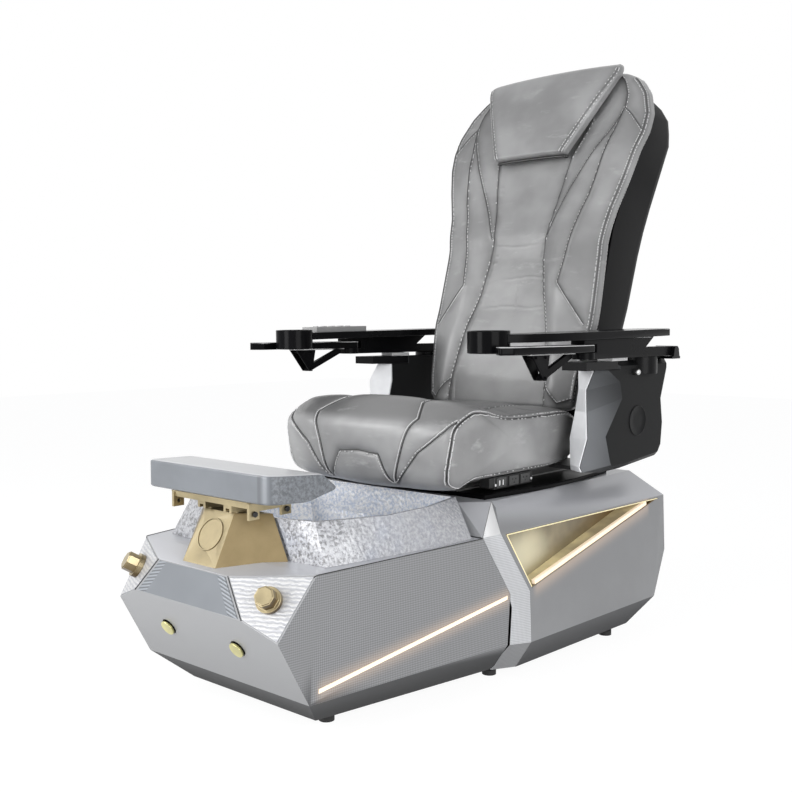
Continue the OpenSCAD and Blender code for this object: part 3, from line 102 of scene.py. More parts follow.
class Shade:
    """A node material: its Principled shader takes values or wires by socket name."""

    def __init__(self, name):
        self.material = bpy.data.materials.new(name)
        self.material.use_nodes = True
        self.tree = self.material.node_tree
        self.tree.nodes.clear()
        self.shader = self.tree.nodes.new("ShaderNodeBsdfPrincipled")
        output = self.tree.nodes.new("ShaderNodeOutputMaterial")
        self.tree.links.new(self.shader.outputs[0], output.inputs[0])
        self.object = self.node("ShaderNodeTexCoord", {}, out="Object")

    def plug(self, socket, value):
        """Links a wire to a socket, or sets the socket's own value. A colour gets an alpha of 1."""
        if isinstance(value, Wire):
            self.tree.links.new(value.socket, socket)
        elif value is not None:
            if socket.type == "RGBA" and len(value) == 3:
                value = (*value, 1)
            socket.default_value = value

    def node(self, kind, settings, *values, out=0, **named):
        """A node of one kind: its settings are set first, then its sockets in order or by name."""
        made = self.tree.nodes.new(kind)
        for key, value in settings.items():
            setattr(made, key, value)
        for socket, value in zip(made.inputs, values):
            self.plug(socket, value)
        for key, value in named.items():
            self.plug(made.inputs[key.replace("_", " ")], value)
        return Wire(self, made.outputs[out])

    def split(self, vector):
        """The X, Y and Z of a vector."""
        made = self.tree.nodes.new("ShaderNodeSeparateXYZ")
        self.tree.links.new(vector.socket, made.inputs[0])
        return [Wire(self, s) for s in made.outputs]

    def stretch(self, scale, turn=(0, 0, 0)):
        """Object coordinates turned and scaled along each axis."""
        return self.node("ShaderNodeMapping", {}, self.object, Rotation=turn, Scale=scale)

    def noise(self, scale, detail=3.0, roughness=0.5, vector=None):
        """Soft cloudy values about 0.5, scale of them to the metre."""
        return self.node("ShaderNodeTexNoise", {}, Vector=vector or self.object, Scale=scale,
                         Detail=detail, Roughness=roughness)

    def cells(self, scale, vector=None):
        """Rounded cells: the softened distance to the nearest of many scattered points."""
        return self.node("ShaderNodeTexVoronoi", {"feature": "SMOOTH_F1"}, Vector=vector or self.object,
                         Scale=scale, out="Distance")

    def read(self, attribute):
        """The value of a number kept on the mesh's points."""
        return self.node("ShaderNodeAttribute", {"attribute_name": attribute}, out="Fac")

    def mix(self, first, second, factor):
        """Blends two colours."""
        made = self.tree.nodes.new("ShaderNodeMix")
        made.data_type = "RGBA"
        self.plug(made.inputs[0], factor)
        self.plug(made.inputs[6], first)
        self.plug(made.inputs[7], second)
        return Wire(self, made.outputs[2])

    def between(self, colour, low, high, factor):
        """Blends two shades of a colour, low times it and high times it."""
        return self.mix(scaled(colour, low), scaled(colour, high), factor)

    def relief(self, height, depth, strength=1.0, under=None):
        """A Bump node: height in 0..1 stands depth metres high."""
        return self.node("ShaderNodeBump", {}, Height=height, Distance=depth, Strength=strength,
                         Normal=under)

    def finish(self, **sockets):
        """Sets the Principled shader's sockets by name, and returns the material."""
        for key, value in sockets.items():
            self.plug(self.shader.inputs[key.replace("_", " ")], value)
        return self.material


def tone(level, tint=(0, 0, 0)):
    """A linear colour from a screen level of 0..255 and a small tint on each channel."""
    return tuple(((level + t) / 255) ** 2.2 for t in tint)


def scaled(colour, factor):
    """A colour made lighter or darker by a factor."""
    return tuple(c * factor for c in colour)


# ---- finishes --------------------------------------------------------------------------------
def leather(name, colour, seams=True, flat=0.0):
    """Satin leather: fine pebbled grain, long faint creases, tone that drifts, and painted shade: dark
    seams with a soft shade beside them. With flat, the faces that look up are painted darker by that share."""
    s = Shade(name)
    upward = facing(s)[2].step(0.5, 0.95)
    drift = s.noise(5.5, 3, 0.5)
    creases = s.noise(1.0, 5, 0.62, s.stretch((13, 13, 34), (0.5, 0.35, 0.2)))
    folds = s.noise(1.0, 4, 0.5, s.stretch((5, 5, 11), (0.2, 0.9, 0.4)))
    grain = s.cells(900)
    pores = s.noise(420, 2)
    near, beside = (s.read("seam"), s.read("beside")) if seams else (0, 0)
    shaded = s.between(colour, 0.74, 1.19, drift.step(0.3, 0.7))
    # painted shade: a soft shade beside the seams, broken up by the folds
    shaded = s.mix(shaded, scaled(colour, 0.60), beside * folds.step(0.34, 0.54) * 0.85)
    # painted shade: the faces that look up are painted darker by the share flat
    shaded = s.mix(shaded, scaled(colour, 0.42), upward * flat)
    # the creases are paler where the leather is worn
    patchy = s.mix(shaded, scaled(colour, 1.4), creases.step(0.58, 0.76) * 0.55)
    # painted shade: the leather is painted dark in the seams' grooves
    groove_shaded = s.mix(patchy, scaled(colour, 0.26), near * 0.85)
    fine = s.relief(grain * 0.5 + pores * 0.25 + creases * 0.9, 0.0008, 0.6)
    return s.finish(
        Base_Color=groove_shaded, Roughness=0.27 + drift * 0.14 + near * 0.2 + pores * 0.05,
        Coat_Weight=0.25, Coat_Roughness=0.22, Normal=s.relief(folds, 0.004, 0.5, fine))


def thread(name, colour):
    """Twisted thread: fine slanting ridges."""
    s = Shade(name)
    twist = s.node("ShaderNodeTexWave", {}, Vector=s.stretch((1, 1, 1), (0.4, 0.6, 0.8)), Scale=380)
    return s.finish(Base_Color=s.mix(scaled(colour, 0.7), colour, twist), Roughness=0.7,
                    Normal=s.relief(twist, 0.0002, 0.6))


def moulded(name, colour, roughness=0.3, coat=0.0, grain=0.25, shine=0.5):
    """Moulded plastic: soft flow marks in its tone and a fine spark texture."""
    s = Shade(name)
    flow = s.noise(5, 4, 0.6)
    spark = s.noise(700, 2)
    return s.finish(
        Base_Color=s.between(colour, 0.86, 1.12, flow.step(0.3, 0.7)),
        Roughness=roughness + flow * 0.1 + spark * 0.04, Coat_Weight=coat, Coat_Roughness=0.05,
        Coat_IOR=1.3, Specular_IOR_Level=shine, Normal=s.relief(spark, 0.0003, grain))


def gloss_black(name, colour, roughness, top):
    """Black moulding with a low sheen, and a painted highlight: a pale broken line under the rim at top."""
    s = Shade(name)
    nz, z = facing(s)[2], s.split(s.object)[2]
    flow, spark = s.noise(5, 4, 0.6), s.noise(700, 2)
    # painted highlight: a pale line just under the rim, broken into patches, where a clear coat also lies
    patchy = s.noise(9, 2).step(0.3, 0.45)
    edge = z.step(top - 3.0 * MM, top - 2.0 * MM) * (1 - nz.step(0.7, 0.9)) * patchy
    plain = s.between(colour, 0.8, 1.2, flow.step(0.3, 0.7))
    return s.finish(
        Base_Color=s.mix(plain, tone(205), edge),
        Roughness=roughness + flow * 0.08, Specular_IOR_Level=0.05, Coat_Weight=edge, Coat_Roughness=0.06,
        Coat_IOR=1.6, Normal=s.relief(spark, 0.0002, 0.2))


def brushed(name, colour, roughness=0.28, along=(1, 60, 60), metallic=1.0):
    """Metal with fine lines along one direction and cloudy polish."""
    s = Shade(name)
    lines = s.noise(45, 3, 0.6, s.stretch(along))
    cloud = s.noise(11, 3)
    return s.finish(
        Base_Color=s.between(colour, 0.82, 1.1, lines.step(0.3, 0.7)),
        Metallic=metallic, Roughness=roughness + cloud * 0.14 + lines * 0.08,
        Normal=s.relief(lines, 0.0003, 0.25))


# browns painted on gold faces as painted shade
SHADE_BROWN, DEEP_SHADE_BROWN = (0.22, 0.15, 0.06), (0.10, 0.062, 0.022)


def gold(name, colour, axis=None, flanks=0.0, roughness=0.27):
    """Satin champagne gold: cloudy polish and fine spark. With an axis, faces that turn away from it are
    painted dark brown as painted shade, darkest where they look down, so that the facets of a knob stand
    apart. With flanks, the faces that lean along X are painted browner by that share, as painted shade."""
    s = Shade(name)
    cloud = s.noise(14, 4, 0.6)
    spark = s.noise(900, 2)
    bright = s.between(colour, 0.80, 1.12, cloud.step(0.3, 0.7))
    nx, ny, nz = facing(s)
    if flanks:
        # painted shade: the flanks are painted browner
        bright = s.mix(bright, SHADE_BROWN, abs(nx).step(0.3, 0.5) * flanks)
    if axis:
        # painted shade: faces turned away from the axis are painted dark brown, darkest where they look
        # down
        turned = abs(nx) * axis[0] + ny * axis[1] + nz * axis[2]
        low = (-nz).step(-0.35, 0.45)
        side = 1 - turned.step(0.35, 0.9)
        bright = s.mix(bright, DEEP_SHADE_BROWN, side * (0.35 + low * 0.6))
    return s.finish(
        Base_Color=bright, Metallic=0.85, Roughness=roughness + cloud * 0.16, Coat_Weight=0.15,
        Coat_Roughness=0.12, Normal=s.relief(spark, 0.0002, 0.3))


def weave(s, pitch):
    """A twill of raised dots: the product of two waves that climb and fall along the wall."""
    x, y, z = s.split(s.object)
    along = x * 0.6 + y
    turn = 2 * math.pi / pitch
    first = ((along + z) * turn).sine()
    second = ((along - z) * turn).sine()
    return (first * second) * 0.5 + 0.5


def facing(s):
    """The parts of the surface normal along X, Y and Z."""
    return s.split(s.node("ShaderNodeNewGeometry", {}, out="Normal"))


def shell_finish(name, chair, side_weave=1.0, glow=None, level=1.0, shade=(0.25, 0.5), deck_level=1.0):
    """Silver base shell: woven print on the sides, a smooth front paler than the woven sides, pale deck,
    and painted light and shade: the front painted darker towards the floor, the lower slopes painted
    darker towards the floor by the two shares in shade, and a painted glow of the warm light that a lamp
    strip throws on the wall beside it. Glow gives the strip's two ends in (y, z) and the light's reach,
    and level and deck_level make the whole shell and its deck lighter or darker."""
    s = Shade(name)
    shell = scaled(chair.shell, level)
    _, y, z = s.split(s.object)
    nx, ny, nz = facing(s)
    ahead = (-ny).step(0.45, 0.7)
    cloud = s.noise(4, 4, 0.55)
    spark = s.noise(600, 2)
    dots = weave(s, 0.0095)
    side = abs(nx).step(0.72, 0.86) * side_weave
    under = (-nz).step(0.3, 0.48) * (1 - ahead) + (-nz).step(0.58, 0.7) * ahead
    deck = nz.step(0.55, 0.8)
    base = s.between(shell, 0.92, 1.07, cloud.step(0.3, 0.7))
    # painted shade: faces that look ahead are painted darker, most near the floor
    base = s.mix(base, s.between(shell, 0.72, 0.9, z.step(0.06, 0.25)), ahead)
    woven = s.between(shell, 0.50, 0.82, dots.step(0.2, 0.8))
    colour = s.mix(base, woven, side)
    # painted shade: the lower slopes are painted darker towards the floor
    slope = s.mix(scaled(shell, shade[0]), scaled(shell, shade[1]), z.step(0.02, 0.10))
    colour = s.mix(colour, slope, under)
    colour = s.mix(colour, scaled(chair.deck, deck_level), deck)
    sockets = dict(
        Base_Color=colour, Metallic=(1 - under) * 0.25,
        Roughness=0.34 + cloud * 0.1 + dots * side * 0.08 + under * 0.5,
        Coat_Weight=(1 - under) * 0.15, Coat_Roughness=0.2,
        Normal=s.relief(dots * side * 0.8 + spark * 0.2, 0.0004, 0.35))
    # painted light: the strip's warm glow on the wall is emission painted on the shell
    if glow:
        (y0, z0), (y1, z1), reach = glow
        climb = (z1 - z0) / (y1 - y0)
        off = abs(z - z0 - (y - y0) * climb) / reach
        ends = (y - (y0 - 0.02)).step(0, 0.03) * (1 - (y - y1).step(0, 0.02))
        lit = (1 - off.step(0, 1)) * ends * abs(nx).step(0.7, 0.9)
        sockets["Emission_Color"] = s.mix((0, 0, 0), (1.0, 0.62, 0.34), lit * lit)
        sockets["Emission_Strength"] = 0.22
    return s.finish(**sockets)


def band_finish(name, chair):
    """The band's fine diagonal print and its pale tip, with its downward faces painted darker as painted
    shade.
    """
    s = Shade(name)
    nz = facing(s)[2]
    dots = weave(s, 0.0075)
    cloud = s.noise(6, 3)
    colour = s.between(chair.shell, 1.05, 1.75, dots.step(0.2, 0.8))
    # painted shade: the downward faces are painted darker
    colour = s.mix(colour, scaled(chair.shell, 0.4), (-nz).step(0.3, 0.6))
    colour = s.mix(colour, tone(222), nz.step(0.3, 0.5))
    return s.finish(Base_Color=colour, Metallic=0.2, Roughness=0.38 + cloud * 0.1,
                    Normal=s.relief(dots, 0.0004, 0.4))


def ribbed_finish(name, chair):
    """Bluish smooth panel whose ends carry fine raised slanting ribs."""
    s = Shade(name)
    x, _, z = s.split(s.object)
    ribs = (z + abs(x) * 0.22).sine_wave(6.2 * MM)
    strip = (abs(x) + (z - 0.25) * 0.75).step(0.128, 0.132)
    cloud = s.noise(7, 3)
    plain = s.between(chair.panel, 0.94, 1.05, cloud.step(0.3, 0.7))
    lined = s.between(chair.panel, 0.7, 1.45, ribs.step(0.3, 0.7))
    return s.finish(Base_Color=s.mix(plain, lined, strip), Metallic=0.2, Roughness=0.3 + cloud * 0.1,
                    Coat_Weight=0.3, Coat_Roughness=0.1, Normal=s.relief(ribs * strip, 0.0008, 0.5))


def wavy_plate(name):
    """Pale plate with faint brushed waves that run level across it."""
    s = Shade(name)
    waves = s.node("ShaderNodeTexWave", {"bands_direction": "Z"}, Vector=s.object, Scale=46,
                   Distortion=4.0, Detail=3.0, Detail_Scale=1.8)
    cloud = s.noise(20, 3)
    brush = s.noise(60, 3, 0.6, s.stretch((1, 1, 5)))
    colour = s.mix(tone(186, (0, 1, 5)), tone(212), waves.step(0.1, 0.9))
    colour = s.mix(colour, tone(164, (0, 2, 8)), brush.step(0.5, 0.75) * 0.7)
    return s.finish(Base_Color=colour, Metallic=0.3, Roughness=0.28 + cloud * 0.14,
                    Normal=s.relief(waves * 0.6 + brush * 0.4, 0.0008, 0.5))


def hammered(name):
    """Hammered clear-silver bowl: a dense crust of small dimples, pale, with bluish patches, bright
    flecks, and a darker crust on the front of its skirt beside the pedestal. Its inside is painted much
    paler than its skirt, as painted light where the seat shades it."""
    s = Shade(name)
    x, y, _ = s.split(s.object)
    nx, ny, _ = facing(s)
    middle = (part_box("basin")[0].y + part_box("basin")[1].y) / 2
    inner = (nx * -x + ny * (middle - y)).step(0.0, 0.06)
    dents = s.cells(120, s.stretch((1, 1, 0.8)))
    crust = s.noise(150, 4, 0.62)
    patch = s.noise(5, 3, 0.6)
    beside = (-ny).step(0.2, 0.45) * abs(x).step(0.08, 0.16)
    pale = s.mix(tone(164, (0, 1, 6)), tone(186, (-1, 0, 4)), crust.step(0.35, 0.65))
    blue = s.mix(pale, tone(158, (-8, 2, 24)), patch.step(0.5, 0.68) * 0.35)
    flecked = s.mix(blue, tone(216), crust.step(0.56, 0.72) * 0.35)
    outside = s.mix(flecked, tone(108), (1 - crust.step(0.36, 0.54)) * (0.08 + beside * 0.75))
    # painted light: the inside of the bowl is painted much paler than its skirt
    inside = s.mix(tone(218, (-10, 0, 18)), tone(252), crust.step(0.38, 0.6))
    return s.finish(Base_Color=s.mix(outside, inside, inner * 0.85), Metallic=0.1,
                    Roughness=0.16 + patch * 0.12, Coat_Weight=0.5, Coat_Roughness=0.05,
                    Normal=s.relief(dents * 0.6 + crust * 0.6, 0.004, 0.6))


def strip_lamp_finish(name, chair, near, far):
    """The recess strip: its outer edge, which runs from near to far in (x, y), is the lit diffuser, and
    the ledge behind it is gilt, with a faint painted glow."""
    s = Shade(name)
    x, y, _ = s.split(s.object)
    beads = s.noise(12, 2)
    lean = (far[0] - near[0]) / (far[1] - near[1])
    front = (abs(x) - (y - near[1]) * lean).step(near[0] - 9 * MM, near[0] - 7 * MM)
    gilt = s.mix(scaled(chair.gold, 0.8), (0.86, 0.74, 0.42), beads.step(0.3, 0.7))
    lit = s.mix(gilt, chair.lamp, front)
    # painted light: the gilt ledge also glows faintly, though it is no lamp
    return s.finish(Base_Color=lit, Roughness=0.4 + beads * 0.1, Emission_Strength=0.5,
                    Emission_Color=s.mix(scaled(chair.gold, 0.5), chair.lamp, front))


def lamp(name, colour, strength):
    """A lit diffuser with softly brighter and darker beads."""
    s = Shade(name)
    beads = s.noise(60, 2)
    lit = s.between(colour, 0.9, 1.1, beads)
    return s.finish(Base_Color=lit, Roughness=0.5, Emission_Color=lit, Emission_Strength=strength)


def lined_recess(name, colour):
    """Gold-lit inner face of the side recess: warm clouds of light that fade towards its far corner."""
    s = Shade(name)
    cloud = s.noise(9, 3, 0.5)
    y = s.split(s.object)[1]
    spot = s.node("ShaderNodeTexGradient", {"gradient_type": "SPHERICAL"},
                  s.node("ShaderNodeMapping", {"vector_type": "TEXTURE"}, s.object,
                         Location=(0, -0.06, 0.275), Scale=(2.0, 0.15, 0.075)))
    far = y.step(0.10, 0.40)
    glow = (spot + cloud * 0.25).step(0.12, 0.95)
    gilt = s.between(colour, 0.42, 0.86, cloud.step(0.3, 0.75))
    gilt = s.mix(gilt, (0.16, 0.085, 0.02), far * 0.8)
    lit = s.mix(gilt, (0.80, 0.74, 0.52), glow * 0.8)
    return s.finish(Base_Color=lit, Metallic=0.3, Roughness=0.3 + cloud * 0.15,
                    Coat_Weight=0.3, Coat_Roughness=0.15)


# ---- meshes ----------------------------------------------------------------------------------
def unit(vectors):
    """Vectors brought to a length of 1."""
    return vectors / np.maximum(np.linalg.norm(vectors, axis=-1, keepdims=True), 1e-12)


def linked(name, mesh):
    """A new object of the scene with that mesh."""
    piece = bpy.data.objects.new(name, mesh)
    bpy.context.scene.collection.objects.link(piece)
    return piece


@contextmanager
def editing(mesh):
    """The mesh as a bmesh, which is written back at the end."""
    work = bmesh.new()
    work.from_mesh(mesh)
    yield work
    work.to_mesh(mesh)
    work.free()


def make_piece(name, vertices, quads, triangles=None, attributes=None):
    """A smooth mesh object at the origin from arrays of points and faces."""
    mesh = bpy.data.meshes.new(name)
    corner_count = [4] * len(quads)
    corners = [np.asarray(quads, np.int32).ravel()]
    if triangles is not None and len(triangles):
        corner_count = corner_count + [3] * len(triangles)
        corners.append(np.asarray(triangles, np.int32).ravel())
    corners, corner_count = np.concatenate(corners), np.array(corner_count, np.int32)
    mesh.vertices.add(len(vertices))
    mesh.vertices.foreach_set("co", np.asarray(vertices, np.float32).ravel())
    mesh.loops.add(len(corners))
    mesh.loops.foreach_set("vertex_index", corners)
    mesh.polygons.add(len(corner_count))
    starts = np.concatenate([[0], np.cumsum(corner_count)[:-1]])
    mesh.polygons.foreach_set("loop_start", starts.astype(np.int32))
    mesh.update(calc_edges=True)
    for key, values in (attributes or {}).items():
        layer = mesh.attributes.new(key, "FLOAT", "POINT")
        layer.data.foreach_set("value", np.asarray(values, np.float32).ravel())
    mesh.shade_smooth()
    mesh.validate()
    return linked(name, mesh)


def tidy_normals(piece):
    """Merges doubles and turns the faces of a closed mesh outwards."""
    with editing(piece.data) as work:
        bmesh.ops.remove_doubles(work, verts=work.verts, dist=1e-6)
        bmesh.ops.recalc_face_normals(work, faces=work.faces)
    piece.data.shade_smooth()
    return piece


def skin(grid):
    """Faces of a grid of points whose rows are closed rings, with a fan over each end ring.
    Returns the points, the quads and the triangles."""
    rows, columns = grid.shape[:2]
    index = np.arange(rows * columns).reshape(rows, columns)
    after = np.roll(index, -1, axis=1)
    quads = np.stack([index[:-1], after[:-1], after[1:], index[1:]], -1).reshape(-1, 4)
    low, high = rows * columns, rows * columns + 1
    ends = [np.stack([after[0], index[0], np.full(columns, low)], -1),
            np.stack([index[-1], after[-1], np.full(columns, high)], -1)]
    points = np.concatenate([grid.reshape(-1, 3), [grid[0].mean(0), grid[-1].mean(0)]])
    return points, quads, np.concatenate(ends)


def even(values, count, closed=False):
    """Resamples a polyline of points to even steps along its length."""
    values = np.asarray(values, float)
    if closed:
        values = np.concatenate([values, values[:1]])
    length = np.concatenate([[0], np.cumsum(np.linalg.norm(np.diff(values, axis=0), axis=1))])
    at = np.linspace(0, length[-1], count + (1 if closed else 0))
    if closed:
        at = at[:-1]
    return np.stack([np.interp(at, length, values[:, k]) for k in range(values.shape[1])], -1)


def soften(values, passes, closed=False):
    """Averages each point with its neighbours, so that corners turn round."""
    values = np.asarray(values, float)
    for _ in range(passes):
        if closed:
            values = (np.roll(values, 1, 0) + 2 * values + np.roll(values, -1, 0)) / 4
        else:
            values[1:-1] = (values[:-2] + 2 * values[1:-1] + values[2:]) / 4
    return values


def grid_normals(grid):
    """Unit normals of a closed-ring grid: the cross product of its steps round and along."""
    around = np.roll(grid, -1, 1) - np.roll(grid, 1, 1)
    return unit(np.cross(around, np.gradient(grid, axis=0)))


def locate(grid, points):
    """(row, column) of the grid point nearest to each point."""
    flat = grid.reshape(-1, 3)
    nearest = [int(np.argmin(((flat - p) ** 2).sum(1))) for p in np.asarray(points, float)]
    return np.array([divmod(n, grid.shape[1]) for n in nearest], float)


def sample(field, at):
    """Bilinear values of a closed-ring grid field at fractional (row, column) places."""
    rows, columns = field.shape[:2]
    row = np.clip(at[:, 0], 0, rows - 1.001)
    r0, c0 = np.floor(row).astype(int), np.floor(at[:, 1]).astype(int)
    fr, fc = (row - r0)[:, None], (at[:, 1] - c0)[:, None]
    c1, c0 = (c0 + 1) % columns, c0 % columns
    return ((field[r0, c0] * (1 - fc) + field[r0, c1] * fc) * (1 - fr)
            + (field[r0 + 1, c0] * (1 - fc) + field[r0 + 1, c1] * fc) * fr)


def trace(grid, points, step=2.0 * MM, round_off=3):
    """Places a seam on a grid: near each given point, and straight across the grid between them."""
    stops = locate(grid, points)
    columns = grid.shape[1]
    for i in range(1, len(stops)):
        turn = stops[i, 1] - stops[i - 1, 1]
        stops[i, 1] -= columns * round(turn / columns)
    length = np.linalg.norm(np.diff(np.asarray(points, float), axis=0), axis=1).sum()
    return soften(even(stops, max(8, int(length / step))), round_off)


def nearness(grid, traces, reach):
    """Distance from every grid point to the closest of the traced seams, up to reach."""
    flat = grid.reshape(-1, 3)
    best = np.full(len(flat), reach)
    for seam in traces:
        line = sample(grid, seam)
        low, high = line.min(0) - reach, line.max(0) + reach
        inside = np.where(((flat > low) & (flat < high)).all(1))[0]
        for chunk in np.array_split(inside, max(1, len(inside) // 4000)):
            gap = np.linalg.norm(flat[chunk, None] - line[None], axis=2).min(1)
            best[chunk] = np.minimum(best[chunk], gap)
    return best.reshape(grid.shape[:2])


def circles(first, second, sides):
    """Unit circles spanned by two arrays of axes: first * cos(a) + second * sin(a)."""
    angle = np.linspace(0, 2 * np.pi, sides, endpoint=False)[None, :, None]
    return first[:, None] * np.cos(angle) + second[:, None] * np.sin(angle)


def tube(name, line, radius, sides=8):
    """A round cord along a line: circles square to the line, closed by a fan at each end."""
    line = np.asarray(line, float)
    ahead = unit(np.gradient(line, axis=0))
    side = unit(np.cross(ahead, (0.31, 0.17, 0.93)))
    ring = circles(side, np.cross(side, ahead), sides) * radius
    return tidy_normals(make_piece(name, *skin(line[:, None] + ring)))


def stitches(name, rows, length, gap, radius):
    """Rows of short spindles. Each row is (line, normals): a stitch lies flat along its line, as
    five-sided rings at the given shares of its length and radius."""
    parts = []
    for line, normals in rows:
        reach = np.linalg.norm(np.diff(line, axis=0), axis=1).sum()
        both = even(np.concatenate([line, normals], 1), max(2, int(reach / (length + gap))))
        middle, normal = both[:, :3], unit(both[:, 3:])
        ahead = unit(np.gradient(middle, axis=0))
        parts.append((middle, ahead, np.cross(ahead, normal), normal))
    middle, ahead, side, normal = (np.concatenate([p[k] for p in parts]) for k in range(4))
    sides, stations = 5, [(-0.5, 0.02), (-0.32, 1), (0.32, 1), (0.5, 0.02)]
    around = circles(side, normal, sides)
    points = np.stack([(middle + ahead * (at * length))[:, None] + around * radius * size
                       for at, size in stations], 1)
    index = np.arange(points.size // 3).reshape(len(middle), len(stations), sides)
    after = np.roll(index, -1, axis=2)
    quads = np.stack([index[:, :-1], after[:, :-1], after[:, 1:], index[:, 1:]], -1).reshape(-1, 4)
    fans = [np.stack([end[:, 0], end[:, k + turn], end[:, k + 1 - turn]], -1)
            for end, turn in ((index[:, 0], 1), (index[:, -1], 0)) for k in (1, 2, 3)]
    return tidy_normals(make_piece(name, points.reshape(-1, 3), quads, np.concatenate(fans)))


def rounded(piece, width, segments, limit, flat_below):
    """Rounds the edges of a piece that turn by more than limit, and keeps an edge between two faces
    sharp where they turn by more than flat_below. Both are in degrees."""
    piece.data.shade_smooth()
    piece.data.set_sharp_from_angle(angle=math.radians(flat_below))
    bevel = piece.modifiers.new("edges", "BEVEL")
    bevel.width, bevel.segments = width, segments
    bevel.limit_method, bevel.angle_limit = "ANGLE", math.radians(limit)
    bevel.use_clamp_overlap, bevel.harden_normals = True, True
    return piece


def coat(mesh, material):
    """Makes a finish the only one of a mesh."""
    mesh.materials.clear()
    mesh.materials.append(material)


def dressed(node, material, width, segments=2, limit=24):
    """A copy of a CAD node whose flat faces are joined and whose edges are rounded by a bevel."""
    piece = linked(node + "_cover", frame["nodes"][node].data.copy())
    with editing(piece.data) as work:
        bmesh.ops.remove_doubles(work, verts=work.verts, dist=2e-5)
        bmesh.ops.dissolve_limit(work, angle_limit=math.radians(1.2), verts=work.verts, edges=work.edges)
    return place(rounded(piece, width, segments, limit, 40), BODY_OF[node], material,
                 replaces=[node])


def paint(nodes, material):
    """Gives CAD nodes their finish."""
    for node in nodes:
        coat(frame["nodes"][node].data, material)


def place(piece, body, material, replaces=()):
    """Gives a new piece its finish and its body, and hides the nodes that it replaces."""
    coat(piece.data, material)
    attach(piece, body)
    if replaces:
        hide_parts(*replaces)
    return piece


def mirrored(points):
    """The same points on the chair's other side."""
    return [(-x, y, z) for x, y, z in points]


def in_metres(points):
    """Points given in millimetres, in metres."""
    return [tuple(v * MM for v in point) for point in points]


def pad_section(corner, flat, width, depth, columns, rear_share=1.0):
    """The outline of a pad from above, as x in -1..1 and depth from -1 at the front to 1 at the rear:
    x = sin(a) to the power corner and depth = -cos(a) to the power flat, with their signs kept. Its
    points lie at even steps on a pad of that width and depth, closer in front where rear_share is
    under 1."""
    angle = np.linspace(-np.pi, np.pi, 6001)
    across = np.sign(np.sin(angle)) * np.abs(np.sin(angle)) ** corner
    back = -np.sign(np.cos(angle)) * np.abs(np.cos(angle)) ** flat
    weight = np.where(np.cos(angle) > -0.05, 1.0, rear_share)
    step = np.hypot(np.diff(across) * width, np.diff(back) * depth) * (weight[1:] + weight[:-1]) / 2
    length = np.concatenate([[0], np.cumsum(step)])
    at = np.linspace(0, length[-1], columns + 1)[:-1]
    return np.interp(at, length, across), np.interp(at, length, back)


# ---- settings --------------------------------------------------------------------------------
def colour_setting(name, description, default):
    """A colour in the panel."""
    return FloatVectorProperty(name=name, description=description, subtype="COLOR", size=3, min=0, max=1,
                               default=default)


def length_setting(name, description, default_mm):
    """A length in the panel. Its default is given in millimetres."""
    return FloatProperty(name=name, description=description, default=default_mm * MM, unit="LENGTH",
                         subtype="DISTANCE")


class SPA_PG_finish(bpy.types.PropertyGroup):
    """Colours of the chair's finishes"""
    leather: colour_setting("Leather", "Colour of the upholstery", tone(146))
    pad: colour_setting("Foot rest", "Colour of the foot rest's cover", tone(120, (-3, 1, 6)))
    shell: colour_setting("Shell", "Colour of the base shells", tone(164, (0, 1, 3)))
    deck: colour_setting("Deck", "Colour of the base's upper slopes", tone(182, (0, 1, 5)))
    panel: colour_setting("Panel", "Colour of the slanted front panel", tone(130, (-2, 2, 7)))
    gold: colour_setting("Gold", "Colour of the gold metal", (0.42, 0.35, 0.21))
    lamp: colour_setting("Lamp", "Colour of the light strips", (1.0, 0.82, 0.62))
    black: colour_setting("Black", "Colour of the arms and trays", (0.004, 0.004, 0.0046))
    charcoal: colour_setting("Charcoal", "Colour of the arm boxes", (0.0078, 0.0081, 0.0085))


class SPA_PG_upholstery(bpy.types.PropertyGroup):
    """Sizes of the seams, the stitches and the leather's swell"""
    seam_depth: length_setting("Seam depth", "How deep a seam draws the leather in", 3.4)
    seam_width: length_setting("Seam width", "Half width of that groove", 3.4)
    puff: length_setting("Panel fill", "How far a panel swells between its seams", 5.0)
    puff_reach: length_setting("Panel fill reach", "Distance from a seam over which a panel swells", 22.0)
    stitch: length_setting("Stitch", "Length of one stitch", 6.0)
    stitch_gap: length_setting("Stitch gap", "Gap between two stitches", 0.8)
    thread: length_setting("Thread", "Radius of the thread", 1.25)
    crease: length_setting("Crease", "Depth of a crease in the leather", 1.6)
    bolster: length_setting("Bolster", "How far the back's side bolsters stand out", 24.0)


def light_setting(name, description, default):
    """The power of a lamp in the panel."""
    return FloatProperty(name=name, description=description, default=default, min=0)


class SPA_PG_stage(bpy.types.PropertyGroup):
    """Powers of the lamps, and the camera's lens"""
    key: light_setting("Key light", "Power of the large lamp", 34.0)
    front: light_setting("Front light", "Power of the low lamp in front", 60.0)
    fill: light_setting("Fill light", "Power of the lamp on the right", 76.0)
    top: light_setting("Top light", "Power of the lamp above", 4.0)
    sky: light_setting("Sky", "Strength of the light from all round", 0.3)
    lens: FloatProperty(name="Lens", description="Focal length of the camera", default=45.45, min=1)


# ---- seams and upholstery --------------------------------------------------------------------
DOUBLE_ROW = (-4.5 * MM, 4.5 * MM)
PUCKER_SPACING = 38 * MM
THREAD_LIFT = 0.2 * MM


